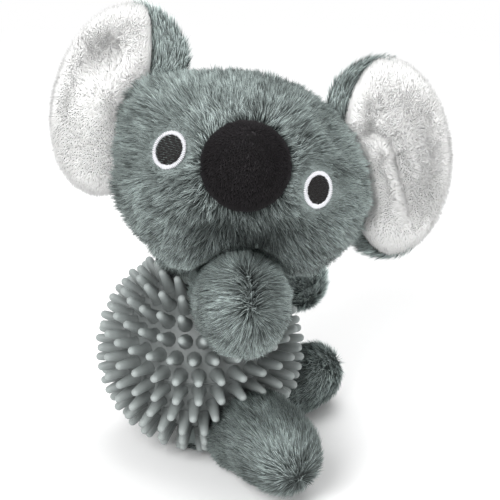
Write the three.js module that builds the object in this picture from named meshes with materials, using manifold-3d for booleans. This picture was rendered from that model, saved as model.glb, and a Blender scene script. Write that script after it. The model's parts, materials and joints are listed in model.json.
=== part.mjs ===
// A plush koala dog toy: a big furry head with cupped ears, a spiky rubber ball
// for a body, and four stubby stuffed limbs that come out above and below the ball.
// Millimetres, +Z up, origin on the floor under the ball. The face looks along -Y.

import * as THREE from "three";
import * as BufferGeometryUtils from "three/addons/utils/BufferGeometryUtils.js";
import Module from "manifold-3d";

const wasm = await Module();
wasm.setup();

// Fabric and fits
const seam_gap = 0.3;
const fabric_thickness = 1.6;
const cut_overrun = 3;

// Spiky ball
const core_radius = 34.5;
const spike_length = 10.5;
const ball_wall = 2.5;
const opening_radius = 9;
const spike_base_radius = 2.4;
const spike_tip_radius = 1.3;
const spike_pitch = 7.6;
const spike_row_pitch = 7.2;
const parting_ridge = 0.7;
const parting_ridge_height = 0.6;
const seat_pad = 0.6;
const ball_segments = 20;
const ball_arc_steps = 4;
const spike_root_depth = 1.2;

// Neck collar, hip gusset and the stuffed core inside the ball
const collar_stand = 17;
const flange_radius = 12;
const flange_thickness = 1.4;
const flange_depth = 6;
const neck_radius = 18;
const hip_radius = 14;
const hip_bridge = 2.4;
const hip_shares = { x: 0.333, y: 0.022 };
const sock_swell_radius = 20;
const sock_thickness = 1.2;
const tube_segments = 14;
const sock_arc_steps = 5;

// Squeaker
const squeaker_radius = 12;
const squeaker_height = 14;
const squeaker_wall = 1;
const squeaker_waist = 1.5;
const reed_radius = 4;
const reed_flange_radius = 5.5;
const reed_flange_thickness = 1;
const reed_depth = 5;
const reed_bore_radius = 1.5;

// Head
const head_half_width = 52;
const head_half_depth = 42;
const head_half_height = 44.5;
const head_shares = { x: 0.433, y: -0.533, rise: 0.978 };
const head_pitch = -25;
const head_roll = 15;
const chin_recess_share = 0.95;
const chin_recess_centre_share = 0.2;
const chin_recess_width_share = 0.8;
const cheek_swell_share = 0.08;
const jowl_tuck_share = 0.14;
const temple_swell_share = 0.2;
const temple_shares = { x: -0.88, z: 0.47 };
const temple_spread = 0.2;
const head_columns = 24;
const head_rows = 16;
const filling_columns = 16;
const filling_rows = 10;

// Nose
const nose_half_width = 18.5;
const nose_half_height = 18.5;
const nose_reach = 12.5;
const nose_sink = 3;
const nose_shares = { x: -0.02, z: 0.12 };
const nose_columns = 16;
const nose_rows = 10;

// Eyes, stitched flat on the face
const eye_spacing_share = 0.605;
const eye_shift_share = -0.03;
const eye_height_share = 0.085;
const eye_ring_radius = 8;
const eye_disc_radius = 6.3;
const stitch_thickness = 1;
const eye_segments = 12;

// Ears
const ear_half_width = 26.5;
const ear_half_height = 41;
const ear_cup_depth = 9;
const ear_back_thickness = 3.6;
const ear_lining_thickness = 3.6;
const ear_lining_inset = 2.5;
const ear_layer_gap = 0.9;
const ear_hinge_shares = { out: 0.962, back: 0.19 };
const ear_columns = 20;
const ear_rows = 8;

// Limbs
const arm_root_half_width = 10;
const arm_root_half_height = 9;
const right_arm_half_width = 22;
const right_arm_half_height = 26.5;
const left_arm_half_width = 16;
const left_arm_half_height = 15;
const leg_root_half_width = 15;
const right_leg_root_half_height = 18;
const left_leg_root_half_height = 12;
const right_leg_half_width = 19;
const right_leg_half_height = 18;
const left_leg_half_width = 15;
const left_leg_half_height = 14;
const limb_bluntness = 3.4;
const limb_columns = 16;
const limb_rows = 10;
const limb_filling_columns = 12;
const limb_filling_rows = 8;
const cutter_columns = 24;
const cutter_rows = 16;

// Joint ranges that the clearances allow for, in degrees
const arm_swing = 10;
const leg_swing = 12;
const ear_swing = 14;
const swing_steps = 1;

// Worked out from the sizes above
const tip_radius = core_radius + spike_length;
const ball_height = tip_radius + seat_pad;
const ball_inner_radius = core_radius - ball_wall;
const stem_radius = opening_radius - seam_gap;
const stem_bore_radius = stem_radius - fabric_thickness;

const collar_reach = tip_radius + collar_stand;
const hip_axis = { x: tip_radius * hip_shares.x, y: tip_radius * hip_shares.y };
const head_place = {
  x: tip_radius * head_shares.x,
  y: tip_radius * head_shares.y,
  z: ball_height + tip_radius + head_half_height * head_shares.rise,
};

// How far each ear's middle stands out from the head's side, as a share of the
// ear's half width, and how high, as a share of the head's half height.
const ear_side_shares = {
  right: { out: 0.32, up: 0.427, inner: 0.4 },
  left: { out: 0.095, up: 0.573, inner: 0.7 },
};
const ear_leans = { right: 0, left: 17 };
const ear_signs = { right: -1, left: 1 };

// Each limb's bent centre line, as shares of the radius of the spike tips. Places
// are measured from the ball's axis, and heights from the ball's centre for an arm
// and from the floor for a leg.
const arm_path_shares = {
  right: [[0.067, -0.2, 1.067], [0.356, -0.933, 0.6], [0.489, -1.6, 1.38]],
  left: [[0.156, 0.156, 1.044], [0.756, 0.667, 0.933], [1.022, 0.889, 0.067]],
};
const leg_path_shares = {
  right: [[0.222, -0.133, 0.133], [0.5, -0.8, 0.75], [0.94, -1.5, 0.4]],
  left: [[0.4, 0.133, 0.133], [0.711, 0.5, 0.3], [1.3, 0.9, 0.4]],
};
const arm_halves = {
  right: { width: right_arm_half_width, height: right_arm_half_height },
  left: { width: left_arm_half_width, height: left_arm_half_height },
};
const leg_halves = {
  right: { width: right_leg_half_width, height: right_leg_half_height },
  left: { width: left_leg_half_width, height: left_leg_half_height },
};
const arm_root = { width: arm_root_half_width, height: arm_root_half_height };
const arm_roots = { right: arm_root, left: arm_root };
const leg_roots = {
  right: { width: leg_root_half_width, height: right_leg_root_half_height },
  left: { width: leg_root_half_width, height: left_leg_root_half_height },
};

const fur_grey = 0x7b8684;
const stuffing_white = 0xf2f2ee;
const nose_black = 0x262326;
const thread_black = 0x38363a;
const thread_white = 0xececf0;
const lining_white = 0xeeeeee;
const rubber_grey = 0x777b7b;
const squeaker_plastic = 0xe8e4da;

function material(colour, roughness) {
  return new THREE.MeshStandardMaterial({ color: colour, roughness, metalness: 0 });
}

// Turns a closed geometry into a solid, with shared vertices merged and its faces
// turned outwards.
function solid(geometry) {
  const bare = geometry.clone();
  bare.deleteAttribute("normal");
  bare.deleteAttribute("uv");
  const merged = BufferGeometryUtils.mergeVertices(bare);
  const corners = [new THREE.Vector3(), new THREE.Vector3(), new THREE.Vector3()];
  const triangles = [];
  let volume = 0;
  for (let i = 0; i < merged.index.count; i += 3) {
    const ids = [merged.index.getX(i), merged.index.getX(i + 1), merged.index.getX(i + 2)];
    if (new Set(ids).size === 3) {
      corners.forEach((corner, at) => corner.fromBufferAttribute(merged.attributes.position, ids[at]));
      volume += corners[0].dot(corners[1].cross(corners[2]));
      triangles.push(ids);
    }
  }
  const facing_out = volume > 0 ? triangles : triangles.map(([a, b, c]) => [a, c, b]);
  const mesh = new wasm.Mesh({
    numProp: 3,
    vertProperties: new Float32Array(merged.attributes.position.array),
    triVerts: new Uint32Array(facing_out.flat()),
  });
  return new wasm.Manifold(mesh);
}

function named_mesh(name, shape, look) {
  const result = shape.getMesh();
  const geometry = new THREE.BufferGeometry();
  const places = new Float32Array(result.vertProperties);
  const corners = new Uint32Array(result.triVerts);
  geometry.setAttribute("position", new THREE.BufferAttribute(places, 3));
  geometry.setIndex(new THREE.BufferAttribute(corners, 1));
  geometry.computeVertexNormals();
  const mesh = new THREE.Mesh(geometry, look);
  mesh.name = name;
  return mesh;
}

// The main body of a shape, without the slivers that a cut can leave beside it.
function main_body(shape) {
  const bodies = shape.decompose();
  return bodies.reduce((best, body) => (body.volume() > best.volume() ? body : best));
}

// A profile of [radius, height] points turned about the Z axis.
function turned(profile, segments) {
  const points = profile.map(([radius, height]) => new THREE.Vector2(radius, height));
  const geometry = new THREE.LatheGeometry(points, segments);
  geometry.rotateX(Math.PI / 2);
  return solid(geometry);
}

// A unit sphere with its poles on Z, each of whose points is moved by place(point).
function soft_volume(columns, rows, place) {
  const geometry = new THREE.SphereGeometry(1, columns, rows);
  geometry.rotateX(Math.PI / 2);
  geometry.deleteAttribute("normal");
  geometry.deleteAttribute("uv");
  const merged = BufferGeometryUtils.mergeVertices(geometry);
  const position = merged.attributes.position;
  const point = new THREE.Vector3();
  for (let i = 0; i < position.count; i += 1) {
    point.fromBufferAttribute(position, i);
    place(point);
    position.setXYZ(i, point.x, point.y, point.z);
  }
  return merged;
}

function upright_cylinder(radius, low, high) {
  return turned([[0, low], [radius, low], [radius, high], [0, high]], tube_segments);
}

function hip_cylinder(radius, low, high) {
  return upright_cylinder(radius, low, high).translate([hip_axis.x, hip_axis.y, 0]);
}

// Cuts the shape by the cutter as it stands at each step of a swing about an
// upright axis, so that the shape can swing without touching what it was cut by.
function clear_of_swing(shape, cutter, swing, axis) {
  let result = shape;
  for (let step = -swing_steps; step <= swing_steps; step += 1) {
    const angle = (swing * step) / swing_steps;
    const turned_cutter = cutter
      .translate([-axis.x, -axis.y, 0])
      .rotate([0, 0, angle])
      .translate([axis.x, axis.y, 0]);
    result = result.subtract(turned_cutter);
  }
  return result;
}

// The space that the spike tips sweep, grown by a clearance. Its corners lie
// further out, so that its flat faces keep the clearance too.
function tip_sphere(clearance) {
  const facet_share = Math.cos(Math.PI / cutter_columns) * Math.cos(Math.PI / cutter_rows / 2);
  const radius = (tip_radius + clearance) / facet_share;
  const sphere = new THREE.SphereGeometry(radius, cutter_columns, cutter_rows);
  sphere.rotateX(Math.PI / 2);
  sphere.translate(0, 0, ball_height);
  return sphere;
}

// One half of the ball's hollow skin, above its parting plane.
function half_shell() {
  const profile = [];
  const ridge_radius = core_radius + parting_ridge;
  const half_gap = seam_gap / 2;
  const opening_turn = Math.acos(opening_radius / core_radius);
  const inner_turn = Math.acos(opening_radius / ball_inner_radius);
  const ridge_turn = Math.asin((half_gap + parting_ridge_height) / core_radius);
  profile.push([ball_inner_radius, half_gap]);
  profile.push([ridge_radius, half_gap]);
  profile.push([ridge_radius, half_gap + parting_ridge_height]);
  for (let step = 0; step <= ball_arc_steps; step += 1) {
    const turn = ridge_turn + ((opening_turn - ridge_turn) * step) / ball_arc_steps;
    profile.push([core_radius * Math.cos(turn), core_radius * Math.sin(turn)]);
  }
  for (let step = ball_arc_steps; step > 0; step -= 1) {
    const turn = (inner_turn * step) / ball_arc_steps;
    profile.push([ball_inner_radius * Math.cos(turn), ball_inner_radius * Math.sin(turn)]);
  }
  profile.push([ball_inner_radius, half_gap]);
  return turned(profile, ball_segments);
}

// A blunt, four-sided rubber spike that starts inside the wall and points along +Z.
function spike_geometry() {
  const root = core_radius - spike_root_depth;
  const height = tip_radius - root;
  const base_side = spike_base_radius * Math.SQRT2;
  const taper = spike_tip_radius / spike_base_radius;
  const geometry = new THREE.BoxGeometry(base_side, base_side, height);
  const position = geometry.attributes.position;
  for (let i = 0; i < position.count; i += 1) {
    if (position.getZ(i) > 0) {
      position.setX(i, position.getX(i) * taper);
      position.setY(i, position.getY(i) * taper);
    }
  }
  geometry.translate(0, 0, root + height / 2);
  return geometry;
}

// The spikes stand in level rows, evenly spaced along each row.
function half_ball() {
  const spikes = [];
  const base = spike_geometry();
  const row_turn = spike_row_pitch / core_radius;
  const clear_radius = opening_radius + spike_base_radius;
  for (let row = 0; core_radius * Math.cos((row + 0.5) * row_turn) > clear_radius; row += 1) {
    const latitude = (row + 0.5) * row_turn;
    const row_radius = core_radius * Math.cos(latitude);
    const count = Math.round((2 * Math.PI * row_radius) / spike_pitch);
    for (let index = 0; index < count; index += 1) {
      const longitude = (2 * Math.PI * index) / count;
      const spike = base.clone();
      spike.rotateY(Math.PI / 2 - latitude);
      spike.rotateZ(longitude);
      spikes.push(solid(spike));
    }
  }
  return half_shell().add(wasm.Manifold.union(spikes));
}

// The collar is a fabric tube. Its flange lies inside the ball, under the skin.
function neck_collar() {
  const flange_top = ball_inner_radius - flange_depth + flange_thickness;
  const flange_low = ball_inner_radius - flange_depth;
  const profile = [
    [stem_bore_radius, flange_low],
    [flange_radius, flange_low],
    [flange_radius, flange_top],
    [stem_radius, flange_top],
    [stem_radius, collar_reach],
    [stem_bore_radius, collar_reach],
    [stem_bore_radius, flange_low],
  ];
  return turned(profile, tube_segments);
}

// The gusset is the plush seat. Its stem stands on the floor and its flange holds
// it in the ball's opening. A thin bridge joins it to the hip that carries the legs.
function hip_gusset() {
  const flange_high = ball_height - ball_inner_radius + flange_depth;
  const flange_low = flange_high - flange_thickness;
  const stem = turned(
    [
      [0, 0],
      [stem_radius, 0],
      [stem_radius, flange_low],
      [flange_radius, flange_low],
      [flange_radius, flange_high],
      [0, flange_high],
    ],
    tube_segments,
  );
  const hip = hip_cylinder(hip_radius, 0, ball_height).subtract(solid(tip_sphere(seam_gap)));
  return hip.add(hip_cylinder(hip_radius, 0, hip_bridge)).add(stem);
}

// The core's half length and its radius at a share of that length, 0 at the middle.
const core_half_length = ball_inner_radius - flange_depth - seam_gap;
function core_radius_at(share, offset) {
  const neck = stem_bore_radius - seam_gap;
  return neck + (sock_swell_radius - neck) * Math.cos((share * Math.PI) / 2) - offset;
}

function core_sock() {
  const profile = [];
  for (let step = -sock_arc_steps; step <= sock_arc_steps; step += 1) {
    const share = step / sock_arc_steps;
    profile.push([core_radius_at(share, 0), core_half_length * share]);
  }
  for (let step = sock_arc_steps; step >= -sock_arc_steps; step -= 1) {
    const share = step / sock_arc_steps;
    profile.push([core_radius_at(share, sock_thickness), core_half_length * share]);
  }
  profile.push(profile[0]);
  return turned(profile, tube_segments);
}

// Half of the core's stuffing, above the ball's middle, hollowed for the squeaker.
function core_stuffing_half(squeaker_space) {
  const offset = sock_thickness + seam_gap;
  const profile = [[0, seam_gap / 2]];
  for (let step = 0; step <= sock_arc_steps; step += 1) {
    const share = step / sock_arc_steps;
    const height = Math.max(core_half_length * share, seam_gap / 2);
    profile.push([core_radius_at(share, offset), height]);
  }
  profile.push([0, core_half_length]);
  const space = upright_cylinder(
    squeaker_radius + seam_gap,
    -squeaker_height / 2 - seam_gap,
    squeaker_height / 2 + squeaker_space + seam_gap,
  );
  return turned(profile, tube_segments).subtract(space);
}

// The squeaker is a squat bellows with a reed pressed in its top.
function squeaker_body() {
  const half = squeaker_height / 2;
  const inner_radius = squeaker_radius - squeaker_wall;
  const waist = squeaker_radius - squeaker_waist;
  const mouth = reed_radius + seam_gap;
  const profile = [
    [0, -half],
    [squeaker_radius, -half],
    [waist, 0],
    [squeaker_radius, half],
    [mouth, half],
    [mouth, half - squeaker_wall],
    [inner_radius, half - squeaker_wall],
    [waist - squeaker_wall, 0],
    [inner_radius, squeaker_wall - half],
    [0, squeaker_wall - half],
  ];
  return turned(profile, tube_segments);
}

function squeaker_reed() {
  const seat = squeaker_height / 2 + seam_gap;
  const profile = [
    [reed_bore_radius, seat - reed_depth],
    [reed_radius, seat - reed_depth],
    [reed_radius, seat],
    [reed_flange_radius, seat],
    [reed_flange_radius, seat + reed_flange_thickness],
    [reed_bore_radius, seat + reed_flange_thickness],
    [reed_bore_radius, seat - reed_depth],
  ];
  return turned(profile, tube_segments);
}

// How much fuller the right temple is at a point of the head: it is squarer than
// the rest of the outline, and the face between is not changed by it.
function temple_swell(point) {
  const { x, z } = temple_shares;
  const gap = (point.x - x) ** 2 + (point.z - z) ** 2;
  const rim = point.x ** 2 + point.z ** 2;
  return 1 + temple_swell_share * Math.exp(-gap / temple_spread) * rim ** 2;
}

// The head's soft outline, shrunk or grown by an offset. Its cheeks are fuller
// than its crown, its chin falls back under the nose, and its left jowl is tucked in.
function head_volume(offset, columns, rows) {
  return soft_volume(columns, rows, (point) => {
    const low = Math.max(0, -point.z);
    const front = Math.max(0, -point.y);
    const swell = 1 - cheek_swell_share * point.z * Math.abs(point.x);
    const aside = (point.x - chin_recess_centre_share) / chin_recess_width_share;
    const middle = Math.max(0, 1 - aside * aside) ** 2;
    const recess = 1 - chin_recess_share * middle * low * front;
    const tuck = 1 - jowl_tuck_share * Math.max(0, point.x) * low;
    const temple = temple_swell(point);
    point.set(
      point.x * swell * tuck * temple * (head_half_width - offset),
      point.y * recess * (head_half_depth - offset),
      point.z * tuck * temple * (head_half_height - offset),
    );
  });
}

const head_group = new THREE.Group();
head_group.position.set(head_place.x, head_place.y, head_place.z);
head_group.rotation.set(
  THREE.MathUtils.degToRad(head_pitch),
  THREE.MathUtils.degToRad(head_roll),
  0,
);
head_group.updateMatrixWorld(true);
const to_head = head_group.matrixWorld.clone().invert();

function head_shape(offset, columns, rows) {
  const ball = tip_sphere(seam_gap + offset).applyMatrix4(to_head);
  return solid(head_volume(offset, columns, rows)).subtract(solid(ball));
}

// The hole that the collar fills, in the head's own frame.
function collar_hole_in_head() {
  const hole = new THREE.CylinderGeometry(
    stem_radius + seam_gap,
    stem_radius + seam_gap,
    collar_reach + seam_gap,
    tube_segments,
  );
  hole.rotateX(Math.PI / 2);
  hole.translate(0, 0, ball_height + (collar_reach + seam_gap) / 2);
  return solid(hole.applyMatrix4(to_head));
}

// The plush neck fills the space between the ball and the head, round the collar.
function neck_shape() {
  const top = ball_height + collar_reach;
  return main_body(
    upright_cylinder(neck_radius, ball_height, top)
      .subtract(solid(tip_sphere(seam_gap)))
      .subtract(upright_cylinder(stem_radius + seam_gap, 0, top + cut_overrun))
      .subtract(head_in_place(seam_gap)),
  );
}

function nose_volume(offset) {
  const volume = soft_volume(nose_columns, nose_rows, (point) => {
    point.set(
      point.x * (nose_half_width - offset),
      point.y * (nose_reach + nose_sink - offset),
      point.z * (nose_half_height - offset),
    );
  });
  volume.translate(
    head_half_width * nose_shares.x,
    nose_sink - head_half_depth,
    head_half_height * nose_shares.z,
  );
  return solid(volume);
}

// A layer of stitching on the face, cut out along the face's own normal.
function eye_patch(side, outer_radius, inner_radius) {
  const across = side * eye_spacing_share + eye_shift_share;
  const up = eye_height_share;
  const back = -Math.sqrt(1 - across * across - up * up);
  const centre = new THREE.Vector3(
    across * head_half_width,
    back * head_half_depth,
    up * head_half_height,
  );
  const normal = new THREE.Vector3(
    across / head_half_width,
    back / head_half_depth,
    up / head_half_height,
  ).normalize();
  const turn = new THREE.Quaternion().setFromUnitVectors(new THREE.Vector3(0, 1, 0), normal);
  const punch = (radius) => {
    const cylinder = new THREE.CylinderGeometry(radius, radius, head_half_depth, eye_segments);
    cylinder.applyQuaternion(turn);
    cylinder.translate(centre.x, centre.y, centre.z);
    return solid(cylinder);
  };
  const face_layer = solid(head_volume(-seam_gap - stitch_thickness, head_columns, head_rows))
    .subtract(solid(head_volume(-seam_gap, head_columns, head_rows)));
  const patch = face_layer.intersect(punch(outer_radius));
  return inner_radius > 0 ? patch.subtract(punch(inner_radius)) : patch;
}

// The ear is a cupped disc. Both of its panels follow one dished middle surface.
function ear_middle(x, z) {
  const share = Math.min(1, (x / ear_half_width) ** 2 + (z / ear_half_height) ** 2);
  return ear_cup_depth * (1 - share);
}

// A panel's inner half is narrower by inner_share. Its direction is 1 for the back
// and -1 for the lining in front.
function ear_panel(name, inset, inner_share, direction, thickness) {
  const volume = soft_volume(ear_columns, ear_rows, (point) => {
    const side_share = point.x < 0 ? inner_share : 1;
    const x = point.x * side_share * (ear_half_width - inset);
    const z = point.y * (ear_half_height - inset);
    const outward = Math.max(0, point.z) * thickness + ear_layer_gap / 2;
    point.set(x, ear_middle(x, z) + direction * outward, z);
  });
  const sign = ear_signs[name];
  const shares = ear_side_shares[name];
  const out = head_half_width + ear_half_width * shares.out;
  volume.scale(sign, 1, 1);
  volume.rotateY(THREE.MathUtils.degToRad(-sign * ear_leans[name]));
  volume.translate(sign * out, 0, head_half_height * shares.up);
  return solid(volume);
}

// An ear panel, cut so that it can flap about its seam on the head.
function ear_piece(name, inset, inner_share, direction, thickness) {
  const cutter = solid(head_volume(-seam_gap, head_columns, head_rows));
  const hinge = {
    x: ear_signs[name] * head_half_width * ear_hinge_shares.out,
    y: head_half_depth * ear_hinge_shares.back,
  };
  const panel = ear_panel(name, inset, inner_share, direction, thickness);
  return main_body(clear_of_swing(panel, cutter, ear_swing, hinge));
}

// A blunt stuffed limb along a bent centre line. An offset shrinks it all round,
// but not at its root, where it stays open.
function limb_volume(limb, base_height, offset, columns, rows) {
  const points = limb.path_shares.map(([x, y, z]) => new THREE.Vector3(x, y, z));
  const curve = new THREE.QuadraticBezierCurve3(...points.map((at) => at.multiplyScalar(tip_radius)));
  const end_share = 1 - offset / curve.getLength();
  const up = new THREE.Vector3(0, 0, 1);
  const volume = soft_volume(columns, rows, (point) => {
    const share = (point.z + 1) / 2;
    const along = Math.min(share, end_share);
    const centre = curve.getPointAt(along);
    const tangent = curve.getTangentAt(along);
    const side = new THREE.Vector3().crossVectors(tangent, up).normalize();
    const top = new THREE.Vector3().crossVectors(side, tangent).normalize();
    const round = Math.sqrt(Math.max(0, 1 - Math.abs(point.z) ** limb_bluntness));
    const turn = Math.atan2(point.y, point.x);
    const half_width = THREE.MathUtils.lerp(limb.root.width, limb.half.width, share) - offset;
    const half_height = THREE.MathUtils.lerp(limb.root.height, limb.half.height, share) - offset;
    point
      .copy(centre)
      .addScaledVector(side, round * half_width * Math.cos(turn))
      .addScaledVector(top, round * half_height * Math.sin(turn));
  });
  volume.translate(0, 0, base_height);
  return solid(volume);
}

function head_in_place(clearance) {
  const volume = head_volume(-clearance, head_columns, head_rows);
  return solid(volume.applyMatrix4(head_group.matrixWorld));
}

// An arm lies between the ball and the head, and is sewn to the neck.
function arm_shape(limb, offset, columns, rows) {
  const axis = { x: 0, y: 0 };
  const limb_solid = limb_volume(limb, ball_height, offset, columns, rows);
  const clearance = seam_gap + offset;
  return clear_of_swing(limb_solid, head_in_place(clearance), arm_swing, axis)
    .subtract(solid(tip_sphere(clearance)));
}

// A leg lies on the floor, runs in under the ball and is sewn to the gusset's hip.
function leg_shape(limb, offset, columns, rows) {
  const reach = tip_radius * Math.max(...limb.path_shares.flat()) * 2 + limb.half.width;
  const floor = upright_cylinder(reach, -reach, offset);
  const limb_solid = limb_volume(limb, 0, offset, columns, rows);
  const tips = solid(tip_sphere(seam_gap + offset));
  return clear_of_swing(limb_solid, tips, leg_swing, hip_axis).subtract(floor);
}

// A hollow skin and the stuffing that fills it, both open at the sewn mouth.
function skin_and_stuffing(shape, mouth, skin_size, filling_size) {
  const hollow = shape(fabric_thickness, ...filling_size);
  const filling = shape(fabric_thickness + seam_gap, ...filling_size);
  return {
    skin: main_body(shape(0, ...skin_size).subtract(hollow).subtract(mouth)),
    stuffing: main_body(filling.subtract(mouth)),
  };
}

const fur = material(fur_grey, 0.95);
const stuffing_look = material(stuffing_white, 1);
const rubber = material(rubber_grey, 0.55);
const lining = material(lining_white, 0.95);
const nose_plush = material(nose_black, 0.85);
const dark_thread = material(thread_black, 0.5);
const light_thread = material(thread_white, 0.45);
const plastic = material(squeaker_plastic, 0.4);

const koala = new THREE.Group();

function add_ball() {
  const ball = new THREE.Group();
  ball.position.z = ball_height;
  const upper = half_ball();
  const lower = upper.rotate([180, 0, 0]);
  ball.add(named_mesh("ball_upper_half", upper, rubber));
  ball.add(named_mesh("ball_lower_half", lower, rubber));
  ball.add(named_mesh("neck_collar", neck_collar(), fur));
  ball.add(named_mesh("core_sock", core_sock(), fur));
  const reed_space = reed_flange_thickness + seam_gap;
  const stuffing_upper = core_stuffing_half(reed_space);
  const stuffing_lower = core_stuffing_half(0).rotate([180, 0, 0]);
  ball.add(named_mesh("core_stuffing_upper", stuffing_upper, stuffing_look));
  ball.add(named_mesh("core_stuffing_lower", stuffing_lower, stuffing_look));
  ball.add(named_mesh("squeaker_body", squeaker_body(), plastic));
  ball.add(named_mesh("squeaker_reed", squeaker_reed(), plastic));
  koala.add(ball);
  koala.add(named_mesh("hip_gusset", hip_gusset(), fur));
}

function add_head() {
  const head = skin_and_stuffing(
    head_shape,
    collar_hole_in_head(),
    [head_columns, head_rows],
    [filling_columns, filling_rows],
  );
  head_group.add(named_mesh("head_skin", head.skin, fur));
  head_group.add(named_mesh("head_stuffing", head.stuffing, stuffing_look));
  const face = solid(head_volume(-seam_gap, head_columns, head_rows));
  const nose_skin = nose_volume(0).subtract(nose_volume(fabric_thickness)).subtract(face);
  const nose_filling = nose_volume(fabric_thickness + seam_gap).subtract(face);
  head_group.add(named_mesh("nose_cover", nose_skin, nose_plush));
  head_group.add(named_mesh("nose_stuffing", nose_filling, stuffing_look));
  for (const [name, sign] of Object.entries(ear_signs)) {
    const disc = eye_patch(sign, eye_disc_radius, 0);
    const ring = eye_patch(sign, eye_ring_radius, eye_disc_radius + seam_gap);
    const inner_share = ear_side_shares[name].inner;
    const back = ear_piece(name, 0, 1, 1, ear_back_thickness);
    const front = ear_piece(name, ear_lining_inset, inner_share, -1, ear_lining_thickness);
    head_group.add(named_mesh(`eye_disc_${name}`, disc, dark_thread));
    head_group.add(named_mesh(`eye_ring_${name}`, ring, light_thread));
    head_group.add(named_mesh(`ear_back_${name}`, back, fur));
    head_group.add(named_mesh(`ear_lining_${name}`, front, lining));
  }
  koala.add(head_group);
  koala.add(named_mesh("neck", neck_shape(), fur));
}

function add_limbs(kind, paths, roots, halves, shape, mouth) {
  for (const [name, path_shares] of Object.entries(paths)) {
    const limb = { path_shares, root: roots[name], half: halves[name] };
    const pieces = skin_and_stuffing(
      (offset, columns, rows) => shape(limb, offset, columns, rows),
      mouth,
      [limb_columns, limb_rows],
      [limb_filling_columns, limb_filling_rows],
    );
    koala.add(named_mesh(`${kind}_skin_${name}`, pieces.skin, fur));
    koala.add(named_mesh(`${kind}_stuffing_${name}`, pieces.stuffing, stuffing_look));
  }
}

const collar_top = ball_height + collar_reach;

// The limbs' mouths turn about the neck and the hip, so their flat sides keep the
// gap to the corners inside them.
const tube_facet_share = Math.cos(Math.PI / tube_segments);
const neck_mouth_radius = (neck_radius + seam_gap) / tube_facet_share;
const hip_mouth_radius = (hip_radius + seam_gap) / tube_facet_share;
const neck_space = upright_cylinder(neck_mouth_radius, ball_height, collar_top);
const gusset_space = hip_cylinder(hip_mouth_radius, -cut_overrun, ball_height);

add_ball();
add_head();
add_limbs("arm", arm_path_shares, arm_roots, arm_halves, arm_shape, neck_space);
add_limbs("leg", leg_path_shares, leg_roots, leg_halves, leg_shape, gusset_space);

export default koala;
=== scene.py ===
"""Dresses a plush koala toy: combed fur, stitched eyes, a piled nose and a spiky rubber ball.

Sizes are in metres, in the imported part's frame: +Z up, and the face looks along -Y.
"""

import json
import math

import bpy
import numpy as np
from bpy.props import FloatProperty, FloatVectorProperty, IntProperty, PointerProperty
from mathutils import Matrix, Vector


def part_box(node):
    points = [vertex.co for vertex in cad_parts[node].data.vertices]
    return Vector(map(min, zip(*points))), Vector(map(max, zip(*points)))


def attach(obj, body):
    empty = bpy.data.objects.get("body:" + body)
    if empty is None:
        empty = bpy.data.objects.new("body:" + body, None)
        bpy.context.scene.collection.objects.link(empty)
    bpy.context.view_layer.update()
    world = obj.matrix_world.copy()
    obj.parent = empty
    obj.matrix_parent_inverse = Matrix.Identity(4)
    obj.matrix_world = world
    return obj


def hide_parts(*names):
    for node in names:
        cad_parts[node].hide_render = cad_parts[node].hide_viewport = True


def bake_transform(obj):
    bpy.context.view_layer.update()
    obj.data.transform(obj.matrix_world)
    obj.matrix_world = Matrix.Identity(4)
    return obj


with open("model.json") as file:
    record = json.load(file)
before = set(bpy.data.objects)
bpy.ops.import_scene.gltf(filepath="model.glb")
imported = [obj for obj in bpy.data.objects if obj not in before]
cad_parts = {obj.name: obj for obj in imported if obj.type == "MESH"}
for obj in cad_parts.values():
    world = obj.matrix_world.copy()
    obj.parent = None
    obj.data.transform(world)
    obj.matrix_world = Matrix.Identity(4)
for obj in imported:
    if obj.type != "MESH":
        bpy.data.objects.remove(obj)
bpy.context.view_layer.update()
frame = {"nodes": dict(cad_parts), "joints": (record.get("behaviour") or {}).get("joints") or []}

bl_info = {
    "name": "Plush Koala",
    "version": (1, 0, 0),
    "blender": (4, 5, 0),
    "location": "View3D > Sidebar > Koala",
    "description": "Builds the fur, stitching and rubber spikes of a plush koala toy",
    "category": "Object",
}

MM = 0.001
SIDES = {"right": -1, "left": 1}
UP = np.array([0, 0, 1.0])

# The spiky ball, measured from its centre
ball_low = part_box("ball_lower_half")[0].z
ball_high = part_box("ball_upper_half")[1].z
BALL_CENTRE = np.array([0, 0, (ball_low + ball_high) / 2])
CORE_RADIUS = 34.5 * MM
SPIKE_LENGTH = 10.5 * MM
TIP_RADIUS = CORE_RADIUS + SPIKE_LENGTH
OPENING_RADIUS = 9 * MM
SEAM_GAP = 0.3 * MM

# The head, in its own frame: x to its left, y to its back and z to its crown
HEAD_HALF = np.array([52, 42, 44.5]) * MM
EAR_HINGE_BACK_SHARE = 0.19
CHEEK_SWELL_SHARE = 0.08
CHIN_RECESS_SHARE = 0.95
CHIN_CENTRE_SHARE = 0.2
CHIN_WIDTH_SHARE = 0.8
JOWL_TUCK_SHARE = 0.14
TEMPLE_SWELL_SHARE = 0.2
TEMPLE_SHARES = (-0.88, 0.47)
TEMPLE_SPREAD = 0.2

# The nose, and its place and the eyes' as shares of the head's half sizes
NOSE_HALF = np.array([18.5, 12.5, 18.5]) * MM
NOSE_SINK = 3 * MM
NOSE_SHARES = (-0.02, 0.12)
EYE_SPACING_SHARE = 0.605
EYE_SHIFT_SHARE = -0.03
EYE_HEIGHT_SHARE = 0.085

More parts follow.
